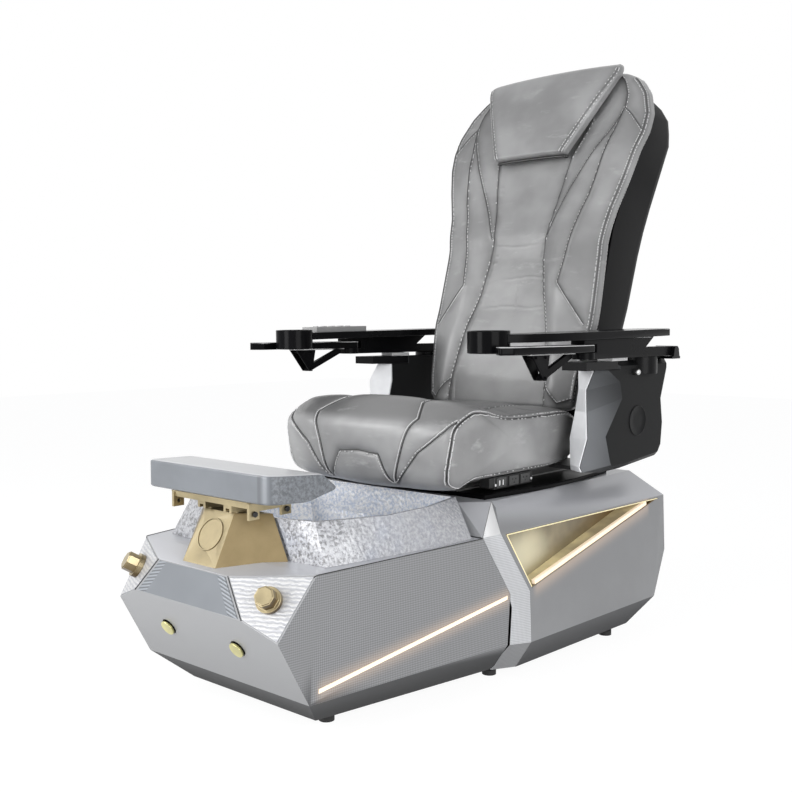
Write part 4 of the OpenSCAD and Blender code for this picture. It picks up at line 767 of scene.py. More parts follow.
def puckers(grid, seams, seed):
    """Short lines that start at a seam and run off it across the leather, at random distances."""
    random = np.random.default_rng(seed)
    normal, lines = grid_normals(grid), []
    for seam in seams:
        line = sample(grid, seam)
        ahead = unit(np.gradient(line, axis=0))
        side = np.cross(sample(normal, seam), ahead)
        count = int(np.linalg.norm(np.diff(line, axis=0), axis=1).sum() / PUCKER_SPACING)
        for at in random.integers(4, max(5, len(line) - 4), count):
            slant = random.uniform(-0.6, 0.6)
            reach = random.uniform(14, 46) * MM * random.choice([-1, 1])
            steps = np.linspace(0.1, 1, 14)[:, None]
            lines.append(line[at] + (side[at] + ahead[at] * slant * steps) * steps * reach)
    return lines


def fold(grid, lines, depth, width):
    """Moves the grid in along free lines: depth * exp(-(distance / width) ** 2), least at their ends."""
    flat = grid.reshape(-1, 3)
    move = np.zeros(len(flat))
    for line in lines:
        taper = np.sin(np.pi * np.linspace(0.04, 0.96, len(line))) ** 0.7
        low, high = line.min(0) - 4 * width, line.max(0) + 4 * width
        inside = np.where(((flat > low) & (flat < high)).all(1))[0]
        if len(inside):
            away = np.linalg.norm(flat[inside, None] - line[None], axis=2)
            pull = (taper[None] * np.exp(-(away / width) ** 2)).max(1) * depth
            move[inside] = np.maximum(move[inside], pull)
    return grid - grid_normals(grid) * move.reshape(grid.shape[:2])[..., None]


def sew(grid, seams, upholstery, weight=1.0):
    """Draws the leather in along the seams and lets the panels swell between them: a point moves
    out by puff * (1 - exp(-distance / reach)) and in by depth * exp(-(distance / width) ** 2), both
    times weight. Returns the new grid, and as 0..1 how near each point is to a seam, closely and
    broadly."""
    away = nearness(grid, seams, 90 * MM)
    normal = grid_normals(grid)
    swell = upholstery.puff * (1 - np.exp(-away / upholstery.puff_reach))
    groove = upholstery.seam_depth * np.exp(-(away / upholstery.seam_width) ** 2)
    sewn = grid + normal * ((swell - groove) * weight)[..., None]
    sewn = fold(sewn, puckers(sewn, seams, len(seams)), upholstery.crease * 0.8, 3.0 * MM)
    return sewn, {key: np.append(np.exp(-(away / reach) ** 2), [0, 0])
                  for key, reach in (("seam", 2.6 * MM), ("beside", 15 * MM))}


def seam_rows(grid, seam, offset, upholstery, weight=1.0):
    """A line beside a seam, lifted out of its groove onto the panel, and the normals there."""
    line, normal = sample(grid, seam), sample(grid_normals(grid), seam)
    ahead = unit(np.gradient(line, axis=0))
    away = abs(offset)
    lift = weight * (upholstery.seam_depth * (1 - math.exp(-(away / upholstery.seam_width) ** 2))
                     + upholstery.puff * (1 - math.exp(-away / upholstery.puff_reach)))
    return line + np.cross(normal, ahead) * offset + normal * (lift + THREAD_LIFT), normal


def stitched(name, rows, upholstery, body, material):
    """Adds rows of the upholstery's stitches to a body."""
    row = stitches(name, rows, upholstery.stitch, upholstery.stitch_gap, upholstery.thread)
    return place(row, body, material)


def seam_shade_cords(name, grid, seams, radius, lift, body, material):
    """Lays a thin dark cord along the bottom of each seam, lifted along the grid's normals, as painted
    shade.
    """
    normals = grid_normals(grid)
    for i, seam in enumerate(seams):
        line = sample(grid, seam) + sample(normals, seam) * lift
        place(tube(f"{name}_{i}", line, radius, 6), body, material)


def smooth_line(knots, at, blur):
    """A height table read at many heights, with its corners rounded over the given length."""
    knots = np.asarray(knots, float)
    fine = np.arange(knots[0, 0] - 3 * blur, knots[-1, 0] + 3 * blur, 1.0)
    values = np.interp(fine, knots[:, 0], knots[:, 1])
    first = (knots[1, 1] - knots[0, 1]) / (knots[1, 0] - knots[0, 0])
    last = (knots[-1, 1] - knots[-2, 1]) / (knots[-1, 0] - knots[-2, 0])
    values = np.where(fine < knots[0, 0], knots[0, 1] + (fine - knots[0, 0]) * first, values)
    values = np.where(fine > knots[-1, 0], knots[-1, 1] + (fine - knots[-1, 0]) * last, values)
    kernel = np.exp(-np.linspace(-2, 2, int(2 * blur) | 1) ** 2)
    padded = np.pad(values, len(kernel) // 2, mode="edge")
    return np.interp(at, fine, np.convolve(padded, kernel / kernel.sum(), mode="valid"))


# Tables of (height, value) in mm: the back's front face in y, its half width and its panel's half width
BACK_FRONT = [(566, 278), (650, 288), (766, 320), (833, 343), (973, 379), (1040, 392), (1105, 416),
              (1240, 458), (1315, 500), (1400, 545), (1478, 586)]
BACK_HALF = [(566, 230), (650, 238), (790, 256), (1000, 250), (1090, 264), (1170, 287), (1290, 314),
             (1340, 312), (1400, 288), (1440, 255), (1478, 205)]
BACK_CHANNEL = [(566, 147), (650, 150), (770, 128), (870, 100), (960, 82), (1019, 82), (1130, 100),
                (1240, 117), (1478, 170)]
BACK_LOW, BACK_TOP, BACK_DEPTH = 566, 1478, 60


def back_shape(rows, columns, bolster):
    """Rings of the back at rising heights: a flat rear, ends rounded by a quarter circle, and a front
    that swells into a bolster on each side of the sunken middle panel. The swell is sin(pi * t ** 0.62)
    to the power 1.3, where t runs from 0 at the panel to 1 at the edge, times the rise at that height."""
    edge, turn = 20, np.linspace(0, np.pi / 2, 12)
    z = np.concatenate([BACK_LOW + edge * (1 - np.cos(turn))[:-1],
                        np.linspace(BACK_LOW + edge, BACK_TOP - edge, rows - 22),
                        BACK_TOP - edge * (1 - np.sin(turn))[1:]])
    near_end = np.clip(edge - np.minimum(z - BACK_LOW, BACK_TOP - z), 0, edge)
    draw = edge - np.sqrt(edge ** 2 - near_end ** 2)
    half = smooth_line(BACK_HALF, z, 14) - draw
    front = smooth_line(BACK_FRONT, z, 22)
    c = smooth_line(BACK_CHANNEL, z, 18)[:, None]
    x, depth = pad_section(0.34, 0.5, 250, 30, columns, 0.35)
    half_depth = (BACK_DEPTH / 2 - draw * 0.9)[:, None]
    across = half[:, None] * x[None]
    y = (front + BACK_DEPTH / 2)[:, None] + half_depth * depth[None]
    facing_front = np.clip(-depth[None], 0, 1) ** 0.7
    t = np.clip((np.abs(across) - c) / np.maximum(half[:, None] - c, 1), 0, 1)
    swell = np.sin(np.pi * t ** 0.62) ** 1.3
    rise = np.interp(z, [566, 620, 900, 1050, 1240, 1478], [0.7, 1.0, 1.0, 0.75, 0.42, 0.2])[:, None]
    hollow = 3 * (1 - t) * np.exp(-((np.abs(across) - c) / 26) ** 2)
    y = y + facing_front * (hollow - bolster / MM * rise * swell)
    grid = np.stack([across, y, np.broadcast_to(z[:, None], y.shape)], -1) * MM
    return grid[:, ::-1]


def on_back(points):
    """Seam corners on the right half of the back, given as (x, z) in millimetres."""
    z = [p[1] for p in points]
    front = smooth_line(BACK_FRONT, z, 22)
    return [(x * MM, (y - 6) * MM, h * MM) for (x, h), y in zip(points, front)]


def both_sides(grid, lines, **options):
    """Each line and its mirror image, traced on the grid."""
    return [trace(grid, side, **options) for line in lines for side in (line, mirrored(line))]


class SPA_OT_back_cushion(bpy.types.Operator):
    """Adds the padded back with its bolsters, seams and stitching"""
    bl_idname = "spa.back_cushion"
    bl_label = "Back cushion"

    def execute(self, context):
        finish, upholstery = context.scene.spa_finish, context.scene.spa_upholstery
        grid = back_shape(330, 250, upholstery.bolster)
        inner = on_back([(147, 572), (150, 650), (128, 770), (100, 870), (82, 960), (82, 1019),
                         (100, 1130), (117, 1240), (150, 1340)])
        dart = on_back([(241, 1364), (201, 1270), (138, 1140), (90, 1026)])
        long_side = on_back([(238, 1350), (224, 1283), (197, 1126), (151, 893), (236, 794)])
        wing = on_back([(241, 1364), (306, 1300)])
        crest = on_back([(241, 1364), (203, 1458)])
        low = on_back([(236, 600), (190, 590), (150, 640)])
        seams = both_sides(grid, [inner, dart, long_side, wing, crest, low])
        ring, count = grid[150], 420
        columns = [int(np.argmin(np.abs(ring[:, 0] - side * 0.985 * ring[:, 0].max())
                                 + (ring[:, 1] > ring[:, 1].mean()) * 9)) for side in (1, -1)]
        toward = 1 if ring[(columns[0] + 4) % len(ring), 1] > ring[columns[0], 1] else -1
        rows = np.linspace(14, len(grid) - 16, count)
        rims = [np.stack([rows, np.full(count, column + side * toward * shift)], 1)
                for column, side in zip(columns, (1, -1)) for shift in (0.0, 12.0)]
        sewn, near = sew(grid, seams + rims, upholstery)
        across = [[(x, h + 2.5 * math.sin(x / 23 + h)) for x in range(start, end, 6)]
                  for h, start, end in ((917, -40, 98), (838, -96, 108), (1004, -74, 66), (712, -110, 60))]
        down = [[(12 + 5 * math.sin(h / 31), h) for h in range(773, 905, 7)],
                [(66 + (h - 700) * 0.22, h) for h in range(700, 800, 7)]]
        creases = [sample(sewn, trace(sewn, on_back(line), round_off=1)) for line in across + down]
        sewn = fold(sewn, creases, upholstery.crease * 0.45, 2.4 * MM)
        piece = make_piece("back_upholstery", *skin(sewn), attributes=near)
        # painted shade: the back's copy of the leather is painted a little darker
        hide = leather("back_leather", scaled(finish.leather, 0.95))
        place(piece, "back", hide, replaces=["back_cushion"])
        # painted shade: near-black cords in the seams' grooves
        dark = leather("seam_shadow", scaled(finish.leather, 0.05), seams=False)
        seam_shade_cords("back_seam", sewn, seams + rims, 0.7 * MM, -0.2 * MM, "back", dark)
        rows = [seam_rows(sewn, seam, (2.6, -2.6)[i % 2] * MM, upholstery) for i, seam in enumerate(seams)]
        rows += [seam_rows(sewn, seam, off, upholstery) for seam in rims for off in DOUBLE_ROW]
        stitched("back_stitching", rows, upholstery, "back", thread("pale_thread", tone(232)))
        return {"FINISHED"}


PILLOW_LOW, PILLOW_TOP = 1240, 1493


def pillow_shape(rows, columns):
    """Rings of the headrest pillow: a trapezoid pad with rounded upper corners, fuller at the top,
    whose lower edge overhangs the back. Its half width grows by a straight line less quarter circles
    at the ends, and its front bulges by 14 * (1 - x ** 2) * sin(pi * t) from foot to top."""
    t = (1 - np.cos(np.linspace(0, np.pi, rows))) / 2
    z = PILLOW_LOW + (PILLOW_TOP - PILLOW_LOW) * t
    below, above = z - PILLOW_LOW, PILLOW_TOP - z
    corner = np.clip((46 - above) / 46, 0, 1)
    foot = np.clip((10 - below) / 10, 0, 1)
    half = 114 + 116 * t - 44 * (1 - np.sqrt(1 - corner ** 2)) - 8 * (1 - np.sqrt(1 - foot ** 2))
    full = np.sqrt(np.clip(1 - np.clip((16 - np.minimum(below, above)) / 16, 0, 1) ** 2, 0, 1))
    back = smooth_line(BACK_FRONT, z, 22) - 2.5
    thick = (44 + 8 * np.sin(np.pi * t) ** 0.8) * (0.12 + 0.88 * full)
    x, depth = pad_section(0.30, 0.55, 180, 18, columns)
    y = (back - thick / 2)[:, None] + (thick / 2)[:, None] * depth[None]
    y = y - np.clip(-depth, 0, 1)[None] * 14 * (1 - x[None] ** 2) * np.sin(np.pi * t)[:, None]
    crown = 7 * (np.clip((t - 0.6) / 0.4, 0, 1) ** 1.5)[:, None] * (1 - np.abs(x[None]) ** 2.2)
    grid = np.stack([half[:, None] * x[None], y, z[:, None] + crown], -1) * MM
    return grid[:, ::-1]


class SPA_OT_headrest_pillow(bpy.types.Operator):
    """Adds the headrest pillow with its edge seams"""
    bl_idname = "spa.headrest_pillow"
    bl_label = "Headrest pillow"

    def execute(self, context):
        finish, upholstery = context.scene.spa_finish, context.scene.spa_upholstery
        grid = pillow_shape(130, 240)
        flat = smooth_line(BACK_FRONT, [1262, 1476], 22)
        side = [(104 * MM, (flat[0] - 50) * MM, 1250 * MM), (206 * MM, (flat[1] - 46) * MM, 1474 * MM)]
        seams = both_sides(grid, [side])
        sewn, near = sew(grid, seams, upholstery, weight=0.5)
        piece = make_piece("headrest_upholstery", *skin(sewn), attributes=near)
        place(piece, "back", leather("pillow_leather", finish.leather),
              replaces=["headrest_pillow"])
        rows = [seam_rows(sewn, seam, off, upholstery, 0.5) for seam in seams for off in (-4 * MM, 4 * MM)]
        stitched("headrest_stitching", rows, upholstery, "back", thread("pillow_thread", tone(225)))
        # partly real dark piping and partly painted shadow: a thick near-black tube under the pillow's
        # lower edge
        dark = leather("pillow_piping_and_shadow", scaled(finish.leather, 0.04), seams=False)
        ring = sewn[6, :]
        front = ring[ring[:, 1] < ring[:, 1].mean() + 6 * MM]
        front = front[np.argsort(front[:, 0])]
        low = tube("headrest_lower_piping_and_shadow", even(front + np.array([0, -2, -4]) * MM, 90), 4.2 * MM)
        place(low, "back", dark)
        return {"FINISHED"}


SEAT_LOW, SEAT_TOP, SEAT_FRONT, SEAT_REAR, SEAT_HALF = 444, 588, -260, 262, 258


def seat_shape(rows, columns):
    """Rings of the seat cushion from side to side, where u runs from -1 to 1: a block whose outline is
    cos and sin of an angle to the power 0.36, whose front rolls up by 32 * exp(-(distance / 72) ** 2) and
    bows forward with u ** 2, whose top dips behind the roll and whose sides draw in below."""
    u = np.sin(np.linspace(-np.pi / 2, np.pi / 2, rows) * 0.94) / np.sin(np.pi / 2 * 0.94)
    side = np.clip((np.abs(u) - 0.93) / 0.07, 0, 1)
    inset = 13 * (1 - np.sqrt(1 - side ** 2))
    angle = np.linspace(0, 2 * np.pi, 4001)[:-1]
    corner = [np.sign(wave) * np.abs(wave) ** 0.36 for wave in (np.cos(angle), np.sin(angle))]
    block = np.array([261, 72])
    outline = even(np.stack(corner, 1) * block, columns, closed=True) / block
    u = u[:, None]
    a = (SEAT_REAR - SEAT_FRONT) / 2 - inset[:, None]
    b = (SEAT_TOP - SEAT_LOW) / 2 - inset[:, None]
    y0 = (SEAT_REAR + SEAT_FRONT) / 2 + a * outline[None, :, 0]
    z0 = (SEAT_TOP + SEAT_LOW) / 2 + b * outline[None, :, 1]
    front = np.clip(-outline[None, :, 0], 0, 1) ** 2.2
    top = np.clip(outline[None, :, 1], 0, 1) ** 1.6
    height = np.clip((SEAT_TOP - z0) / (SEAT_TOP - SEAT_LOW), 0, 1)
    roll = 32 * np.exp(-((y0 - SEAT_FRONT - 105) / 72) ** 2) * top * (1 - 0.2 * u ** 2)
    roll = roll - 9 * np.exp(-((y0 - SEAT_FRONT - 265) / 70) ** 2) * top * (1 - u ** 2)
    bow = 16 * u ** 2 * front + 12 * u ** 2 * front * (1 - top) * height ** 3
    hang = 26 * height ** 2 * np.clip((-150 - y0) / 60, 0, 1) ** 1.5 * (1 - 0.25 * u ** 2)
    z = z0 + roll - 8 * u ** 2 * top - hang
    narrow = 1 - 0.05 * np.clip((SEAT_TOP - z) / (SEAT_TOP - SEAT_LOW), 0, 1) ** 2
    x = SEAT_HALF * u * narrow
    return np.stack([x, y0 + bow, z], -1) * MM


class SPA_OT_seat_cushion(bpy.types.Operator):
    """Adds the seat cushion with its sewn front panels and double-stitched side seams"""
    bl_idname = "spa.seat_cushion"
    bl_label = "Seat cushion"

    def execute(self, context):
        finish, upholstery = context.scene.spa_finish, context.scene.spa_upholstery
        grid = seat_shape(230, 300)
        tray = [(96, -250, 420), (60, -262, 500), (0, -263, 504), (-60, -262, 500), (-96, -250, 420)]
        inner = [(100, -250, 420), (127, -258, 523), (154, -236, 590), (120, -170, 616), (122, 20, 588),
                 (128, 240, 588)]
        outer = [(104, -250, 420), (169, -252, 512), (236, -236, 560), (250, -214, 582)]
        rim = [(240, -240, 436), (252, -247, 500), (253, -236, 545), (253, -214, 574), (253, -177, 590),
               (253, -133, 592), (253, -82, 583), (253, -33, 575), (253, 36, 572), (253, 134, 572),
               (253, 240, 570)]
        hem = [(238, -232, 434), (240, -120, 452), (240, 80, 452), (240, 240, 452)]

        seams = [trace(grid, in_metres(tray))] + both_sides(grid, [in_metres(inner), in_metres(outer)])
        rims = both_sides(grid, [in_metres(rim)], round_off=12)
        hems = both_sides(grid, [in_metres(hem)], round_off=12)
        sewn, near = sew(grid, seams + rims + hems, upholstery)
        folds = [[(150, 60), (205, 20), (248, -20)], [(140, 120), (200, 92), (246, 96)],
                 [(-40, 196), (30, 178), (95, 190)], [(-110, 150), (-150, 110), (-205, 104)],
                 [(60, 130), (98, 84), (114, 20)], [(-246, -40), (-200, 0), (-150, 16)]]
        lines = [sample(sewn, trace(sewn, in_metres([(x, y, SEAT_TOP) for x, y in line]), round_off=2))
                 for line in folds]
        sewn = fold(sewn, lines, upholstery.crease * 1.5, 6 * MM)
        piece = tidy_normals(make_piece("seat_upholstery", *skin(sewn), attributes=near))
        # painted light and shade: the seat's copy of the leather is painted 1.16 times paler, and its top
        # faces darker
        hide = leather("seat_leather", scaled(finish.leather, 1.16), flat=0.9)
        place(piece, "seat", hide, replaces=["seat_cushion"])
        # painted shade: near-black cords in the seams' grooves
        dark = leather("seat_seam_shadow", scaled(finish.leather, 0.05), seams=False)
        outward = 1 if sample(grid_normals(sewn), hems[0])[:, 0].mean() > 0 else -1
        seam_shade_cords("seat_seam", sewn, seams + rims + hems, 1.0 * MM, outward * 0.2 * MM, "seat", dark)
        rows = [seam_rows(sewn, seam, 3.8 * MM, upholstery) for seam in seams + hems]
        rows += [seam_rows(sewn, seam, off, upholstery) for seam in rims for off in DOUBLE_ROW]
        stitched("seat_stitching", rows, upholstery, "seat", thread("seat_thread", tone(232)))
        return {"FINISHED"}


def foot_rest_shape(low, high, rows, columns):
    """Rings of the foot rest at rising heights: the plan's outline, drawn in by a quarter circle at the
    lower and upper edge, with a rear end that reaches back by the tail and dips a little."""
    deep, half = 112, 190
    h = (1 - np.cos(np.linspace(0, np.pi, rows))) / 2
    edge = np.clip((0.10 - np.minimum(h, 1 - h)) / 0.10, 0, 1)
    inset = 6 * (1 - np.sqrt(1 - edge ** 2))[:, None]
    plan = np.array([(-184, 0), (140, 0), (168, 2), (181, 10), (188, 26), (203, 100), (203, deep),
                     (-203, deep), (-203, 100), (-188, 14), (-187, 3)], float)
    ring = soften(even(plan, columns, closed=True), 6, closed=True)
    t = np.clip(ring[:, 1] / deep, 0, 1)
    tail = smooth_line([(0, -36), (30, 46), (40, 50), (100, 8)], h * 100, 5)[:, None]
    x = ring[None, :, 0] * (1 - inset / half)
    y = low.y / MM + inset + ring[None, :, 1] * (1 - 2 * inset / deep) + tail * t[None] ** 4
    z = low.z / MM + (high.z - low.z) / MM * h[:, None] - 6 * t[None] * h[:, None]
    return np.stack([x, y, z], -1) * MM


def foot_rest_finish(name, pad):
    """Blue-grey hide: smooth and cloudy in front, mottled at the ends, pale on top, with painted shade and
    highlight in bands where the front turns into its right end."""
    s = Shade(name)
    nx, _, nz = facing(s)
    cloud = s.noise(5, 4, 0.6)
    mottle = s.noise(150, 3, 0.7)
    smooth = s.between(pad, 0.9, 1.1, cloud.step(0.3, 0.7))
    rough = s.between(pad, 0.6, 1.1, mottle.step(0.35, 0.65))
    side, top = abs(nx).step(0.6, 0.85), nz.step(0.6, 0.9)
    x = s.split(s.object)[0]
    # painted shade and highlight: dark and pale bands on the corner where the front turns into its right
    # end
    turning = x.step(0.146, 0.150) * (1 - x.step(0.186, 0.190))
    bands = ((x - 0.148) * 240).sine() * turning * 0.5 + 0.5
    front = s.mix(smooth, scaled(pad, 0.55), bands.step(0.5, 1) * 0.6)
    front = s.mix(front, scaled(pad, 1.5), (1 - bands).step(0.5, 1) * 0.5)
    colour = s.mix(s.mix(front, rough, side), tone(214, (0, 1, 3)), top)
    return s.finish(Base_Color=colour, Roughness=0.28 + cloud * 0.15 + side * 0.15, Coat_Weight=0.35,
                    Coat_Roughness=0.15, Normal=s.relief(mottle, 0.0005, 0.35))


class SPA_OT_foot_rest(bpy.types.Operator):
    """Adds the padded foot rest"""
    bl_idname = "spa.foot_rest"
    bl_label = "Foot rest"

    def execute(self, context):
        grid = foot_rest_shape(*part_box("footrest_pad"), 90, 320)
        piece = tidy_normals(make_piece("foot_rest_upholstery", *skin(grid)))
        hide = foot_rest_finish("foot_rest_cover", context.scene.spa_finish.pad)
        place(piece, "footrest", hide, replaces=["footrest_pad"])
        return {"FINISHED"}


# ---- base, trim and fittings -----------------------------------------------------------------
class SPA_OT_base(bpy.types.Operator):
    """Dresses the base shells, the band, the basin and the lamps"""
    bl_idname = "spa.base"
    bl_label = "Base"

    def execute(self, context):
        finish = context.scene.spa_finish
        strip_low, strip_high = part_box("side_lights")
        glow = ((strip_low.y, strip_low.z + 4 * MM), (strip_high.y, strip_high.z - 4 * MM), 45 * MM)
        # painted light and shade: this shell's deck is painted 1.45 times paler, and its lower slopes take
        # darker shares of painted shade
        nose = shell_finish("front_shell_finish", finish, 1.0, glow, shade=(0.1, 0.24), deck_level=1.45)
        dressed("front_shell", nose, 1.6 * MM)
        recess_low, recess_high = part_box("recess_lights")
        glow = ((recess_low.y, recess_low.z - 2 * MM), (recess_high.y, recess_high.z - 8 * MM), 50 * MM)
        # painted shade: the rear shell's copy of the silver is painted darker, at level 0.68
        dressed("rear_shell", shell_finish("rear_shell_finish", finish, 0.0, glow, 0.68), 1.6 * MM)
        dressed("deck_bridge", shell_finish("bridge_finish", finish, 0.0), 1.2 * MM)
        dressed("middle_band", band_finish("band_finish", finish), 1.5 * MM)
        dressed("access_panel", shell_finish("panel_finish", finish, 0.0), 1.0 * MM)
        dressed("front_panel", ribbed_finish("front_panel_finish", finish), 0.6 * MM)
        dressed("corner_plates", wavy_plate("corner_plate_finish"), 0.6 * MM)
        dressed("basin", hammered("basin_finish"), 2.5 * MM, 3)
        dressed("recess_liners", lined_recess("recess_finish", finish.gold), 0.8 * MM)
        dark = moulded("edge_line", tone(46), 0.4)
        plate = [(107, -728, 320), (165, -746, 250), (262, -647, 332)]
        lines = {"rim": [plate[2], (321, -217, 338)], "plate": plate}
        for key, line in lines.items():
            for side, points in (("right", line), ("left", mirrored(line))):
                cord = tube(f"{side}_{key}_line", even(np.array(points) * MM, 40), 1.1 * MM, 6)
                place(cord, "base", dark)
        paint(["side_lights"], lamp("strip_lamp", finish.lamp, 0.65))
        ends = (0.3426, -0.0513), (0.3637, 0.4329)
        paint(["recess_lights"], strip_lamp_finish("recess_lamp", finish, *ends))
        trim = lamp("recess_trim", (0.95, 0.84, 0.52), 0.35)
        corner, low_end, far_end = (333.8, -148, 337), (343.0, -63.5, 209), (367.0, 488, 337)
        for side, turn in (("right", list), ("left", mirrored)):
            line = np.concatenate([even(turn([low_end, corner]), 30), even(turn([corner, far_end]), 90)])
            cord = tube(side + "_recess_trim", soften(line, 1) * MM, 1.3 * MM, 6)
            place(cord, "base", trim)
        paint(["levelling_feet"], moulded("foot_rubber", tone(28), 0.6, 0, 0.5))
        paint(["base_frame", "seat_frame", "back_frame"], moulded("frame_paint", tone(60), 0.45))
        return {"FINISHED"}


KNOB_AXIS = (0.369, -0.779, 0.506)


class SPA_OT_controls(bpy.types.Operator):
    """Dresses the knobs, buttons, pedestal and foot rest carriage in gold"""
    bl_idname = "spa.controls"
    bl_label = "Controls and pedestal"

    def execute(self, context):
        finish = context.scene.spa_finish
        metal = gold("champagne_gold", finish.gold)
        # painted shade on the knobs' facets that turn away from KNOB_AXIS
        turned = gold("knob_gold", finish.gold, KNOB_AXIS)
        for node in ("left_knob", "right_knob"):
            dressed(node, turned, 1.4 * MM, 3)
        bright = gold("button_gold", tone(206, (6, 0, -60)))
        for node in ("left_button", "right_button"):
            dressed(node, bright, 1.6 * MM, 3)
        # painted shade: the pedestal's copy of the gold is painted darker, and browner on its flanks
        plinth = gold("pedestal_gold", scaled(finish.gold, 0.7), flanks=0.5, roughness=0.42)
        dressed("pedestal", plinth, 1.6 * MM, 3)
        dressed("pedestal_badge", plinth, 0.6 * MM)
        dressed("footrest_carriage", metal, 0.8 * MM)
        dressed("footrest_guides", metal, 0.6 * MM)
        dressed("carriage_bolts", moulded("bolt_black", tone(40), 0.35), 0.8 * MM)
        paint(["drain_flange", "drain_stopper", "valve_bodies"], metal)
        return {"FINISHED"}


# (y, z) outlines in mm of an arm box: its inner side, its widest section and its outer face
BOX_INNER = [(202, 680), (204, 630), (190, 582), (166, 519), (170, 454), (172, 440), (233, 431), (319, 432),
             (512, 446), (533, 470), (540, 534), (530, 598), (559, 672), (559, 700), (274, 700), (274, 680)]
BOX_EDGE = [(196, 680), (161, 634), (164, 582), (169, 516), (135, 454), (146, 440), (233, 431), (319, 432),
            (512, 446), (533, 470), (540, 534), (530, 598), (559, 672), (559, 700), (274, 700), (274, 680)]
BOX_FACE = [(230, 680), (290, 649), (302, 608), (222, 520), (246, 456), (252, 447), (268, 445), (330, 446),
            (496, 459), (512, 478), (519, 534), (508, 598), (539, 676), (539, 688), (292, 688), (290, 680)]
BOX_SECTIONS = ((301, BOX_INNER), (345, BOX_EDGE), (362, BOX_FACE))
STRIP_HEIGHTS = (679, 634, 582, 518, 454, 441)


def faceted(name, rings):
    """A flat-faced solid lofted through closed outlines, in mm, that have the same number of corners."""
    rows, count = len(rings), len(rings[0])
    index = np.arange(rows * count).reshape(rows, count)
    after = np.roll(index, -1, axis=1)
    faces = np.stack([index[:-1], after[:-1], after[1:], index[1:]], -1).reshape(-1, 4).tolist()
    faces += [index[0, ::-1].tolist(), index[-1].tolist()]
    mesh = bpy.data.meshes.new(name)
    mesh.from_pydata(in_metres(point for ring in rings for point in ring), [], faces)
    with editing(mesh) as work:
        bmesh.ops.triangulate(work, faces=[face for face in work.faces if len(face.verts) > 4])
        bmesh.ops.recalc_face_normals(work, faces=work.faces)
    return linked(name, mesh)


def lathed(name, centre, profile, sign, squash=1.0):
    """A round piece about the X axis: a circle of each radius in the profile at that height above the
    centre, both in mm. The sign turns it to one side of the chair, and squash flattens it in z."""
    angle = np.linspace(0, 2 * np.pi, 64, endpoint=False)
    radius, height = np.array(profile).T[..., None]
    rings = np.stack([sign * (centre[0] + height + 0 * angle), centre[1] + radius * np.cos(angle),
                      centre[2] + radius * squash * np.sin(angle)], -1)
    return tidy_normals(make_piece(name, *skin(rings * MM)))


def charcoal_finish(name, base):
    """Matt charcoal with fine sparks; painted light makes the facets that look ahead paler, most low in
    front.
    """
    s = Shade(name)
    _, ny, _ = facing(s)
    spark, flow = s.noise(700, 2), s.noise(5, 4, 0.6)
    _, y, z = s.split(s.object)
    # painted light: the facets that look ahead are painted paler, most near the front and low down
    ahead = (-ny).step(0.04, 0.16) * (1 - y.step(0.15, 0.32) * 0.75) * (1 - z.step(0.56, 0.66) * 0.5)
    ahead = ahead * (1 - y.step(0.31, 0.32))
    plain = s.between(base, 0.86, 1.12, flow.step(0.3, 0.7))
    return s.finish(Base_Color=s.mix(plain, scaled(base, 24), ahead), Roughness=0.45 + flow * 0.1,
                    Specular_IOR_Level=0.1, Normal=s.relief(spark, 0.0003, 0.6))


class SPA_OT_arm_boxes(bpy.types.Operator):
    """Adds the faceted arm boxes with their pale front strips, bare discs and post bolts"""
    bl_idname = "spa.arm_boxes"
    bl_label = "Arm boxes"

    def execute(self, context):
        charcoal = charcoal_finish("charcoal", context.scene.spa_finish.charcoal)
        pale = moulded("pale_strip", tone(242, (0, 1, 3)), 0.32, 0.1)
        steel = brushed("bolt_steel", tone(210), 0.2)
        rim = [(44, 0.0), (44, 1.4), (42.5, 2.2), (40.5, 2.2), (39.5, 1.2), (20, 1.0)]
        dome = [(8, -12)] + [(8 * np.cos(a), 7 * np.sin(a)) for a in np.linspace(0, 1.5, 8)]
        for side, sign in (("right", 1), ("left", -1)):
            first = sign > 0
            loft = [[(sign * x, y, z) for y, z in outline] for x, outline in BOX_SECTIONS]
            body = rounded(faceted(side + "_arm_box", loft), 1.6 * MM, 2, 20, 2)
            place(body, "seat", charcoal, replaces=["arm_boxes"] if first else ())
            loft = [[(sign * 300, inner - 6, z), (sign * 344, outer - 6, z),
                     (sign * 344, outer - 1, z), (sign * 300, inner - 1, z)]
                    for (inner, _), (outer, _), z in zip(BOX_INNER, BOX_EDGE, STRIP_HEIGHTS)]
            strip = rounded(faceted(side + "_arm_box_strip", loft), 1.2 * MM, 2, 15, 2)
            place(strip, "seat", pale, replaces=["arm_box_fronts"] if first else ())
            disc = lathed(side + "_arm_box_disc", (361.6, 382, 548), rim, sign, 0.88)
            place(disc, "seat", charcoal)
            bolt = lathed(side + "_post_bolt", (372, 361, 671), dome, sign)
            place(bolt, "seat", steel)
        return {"FINISHED"}


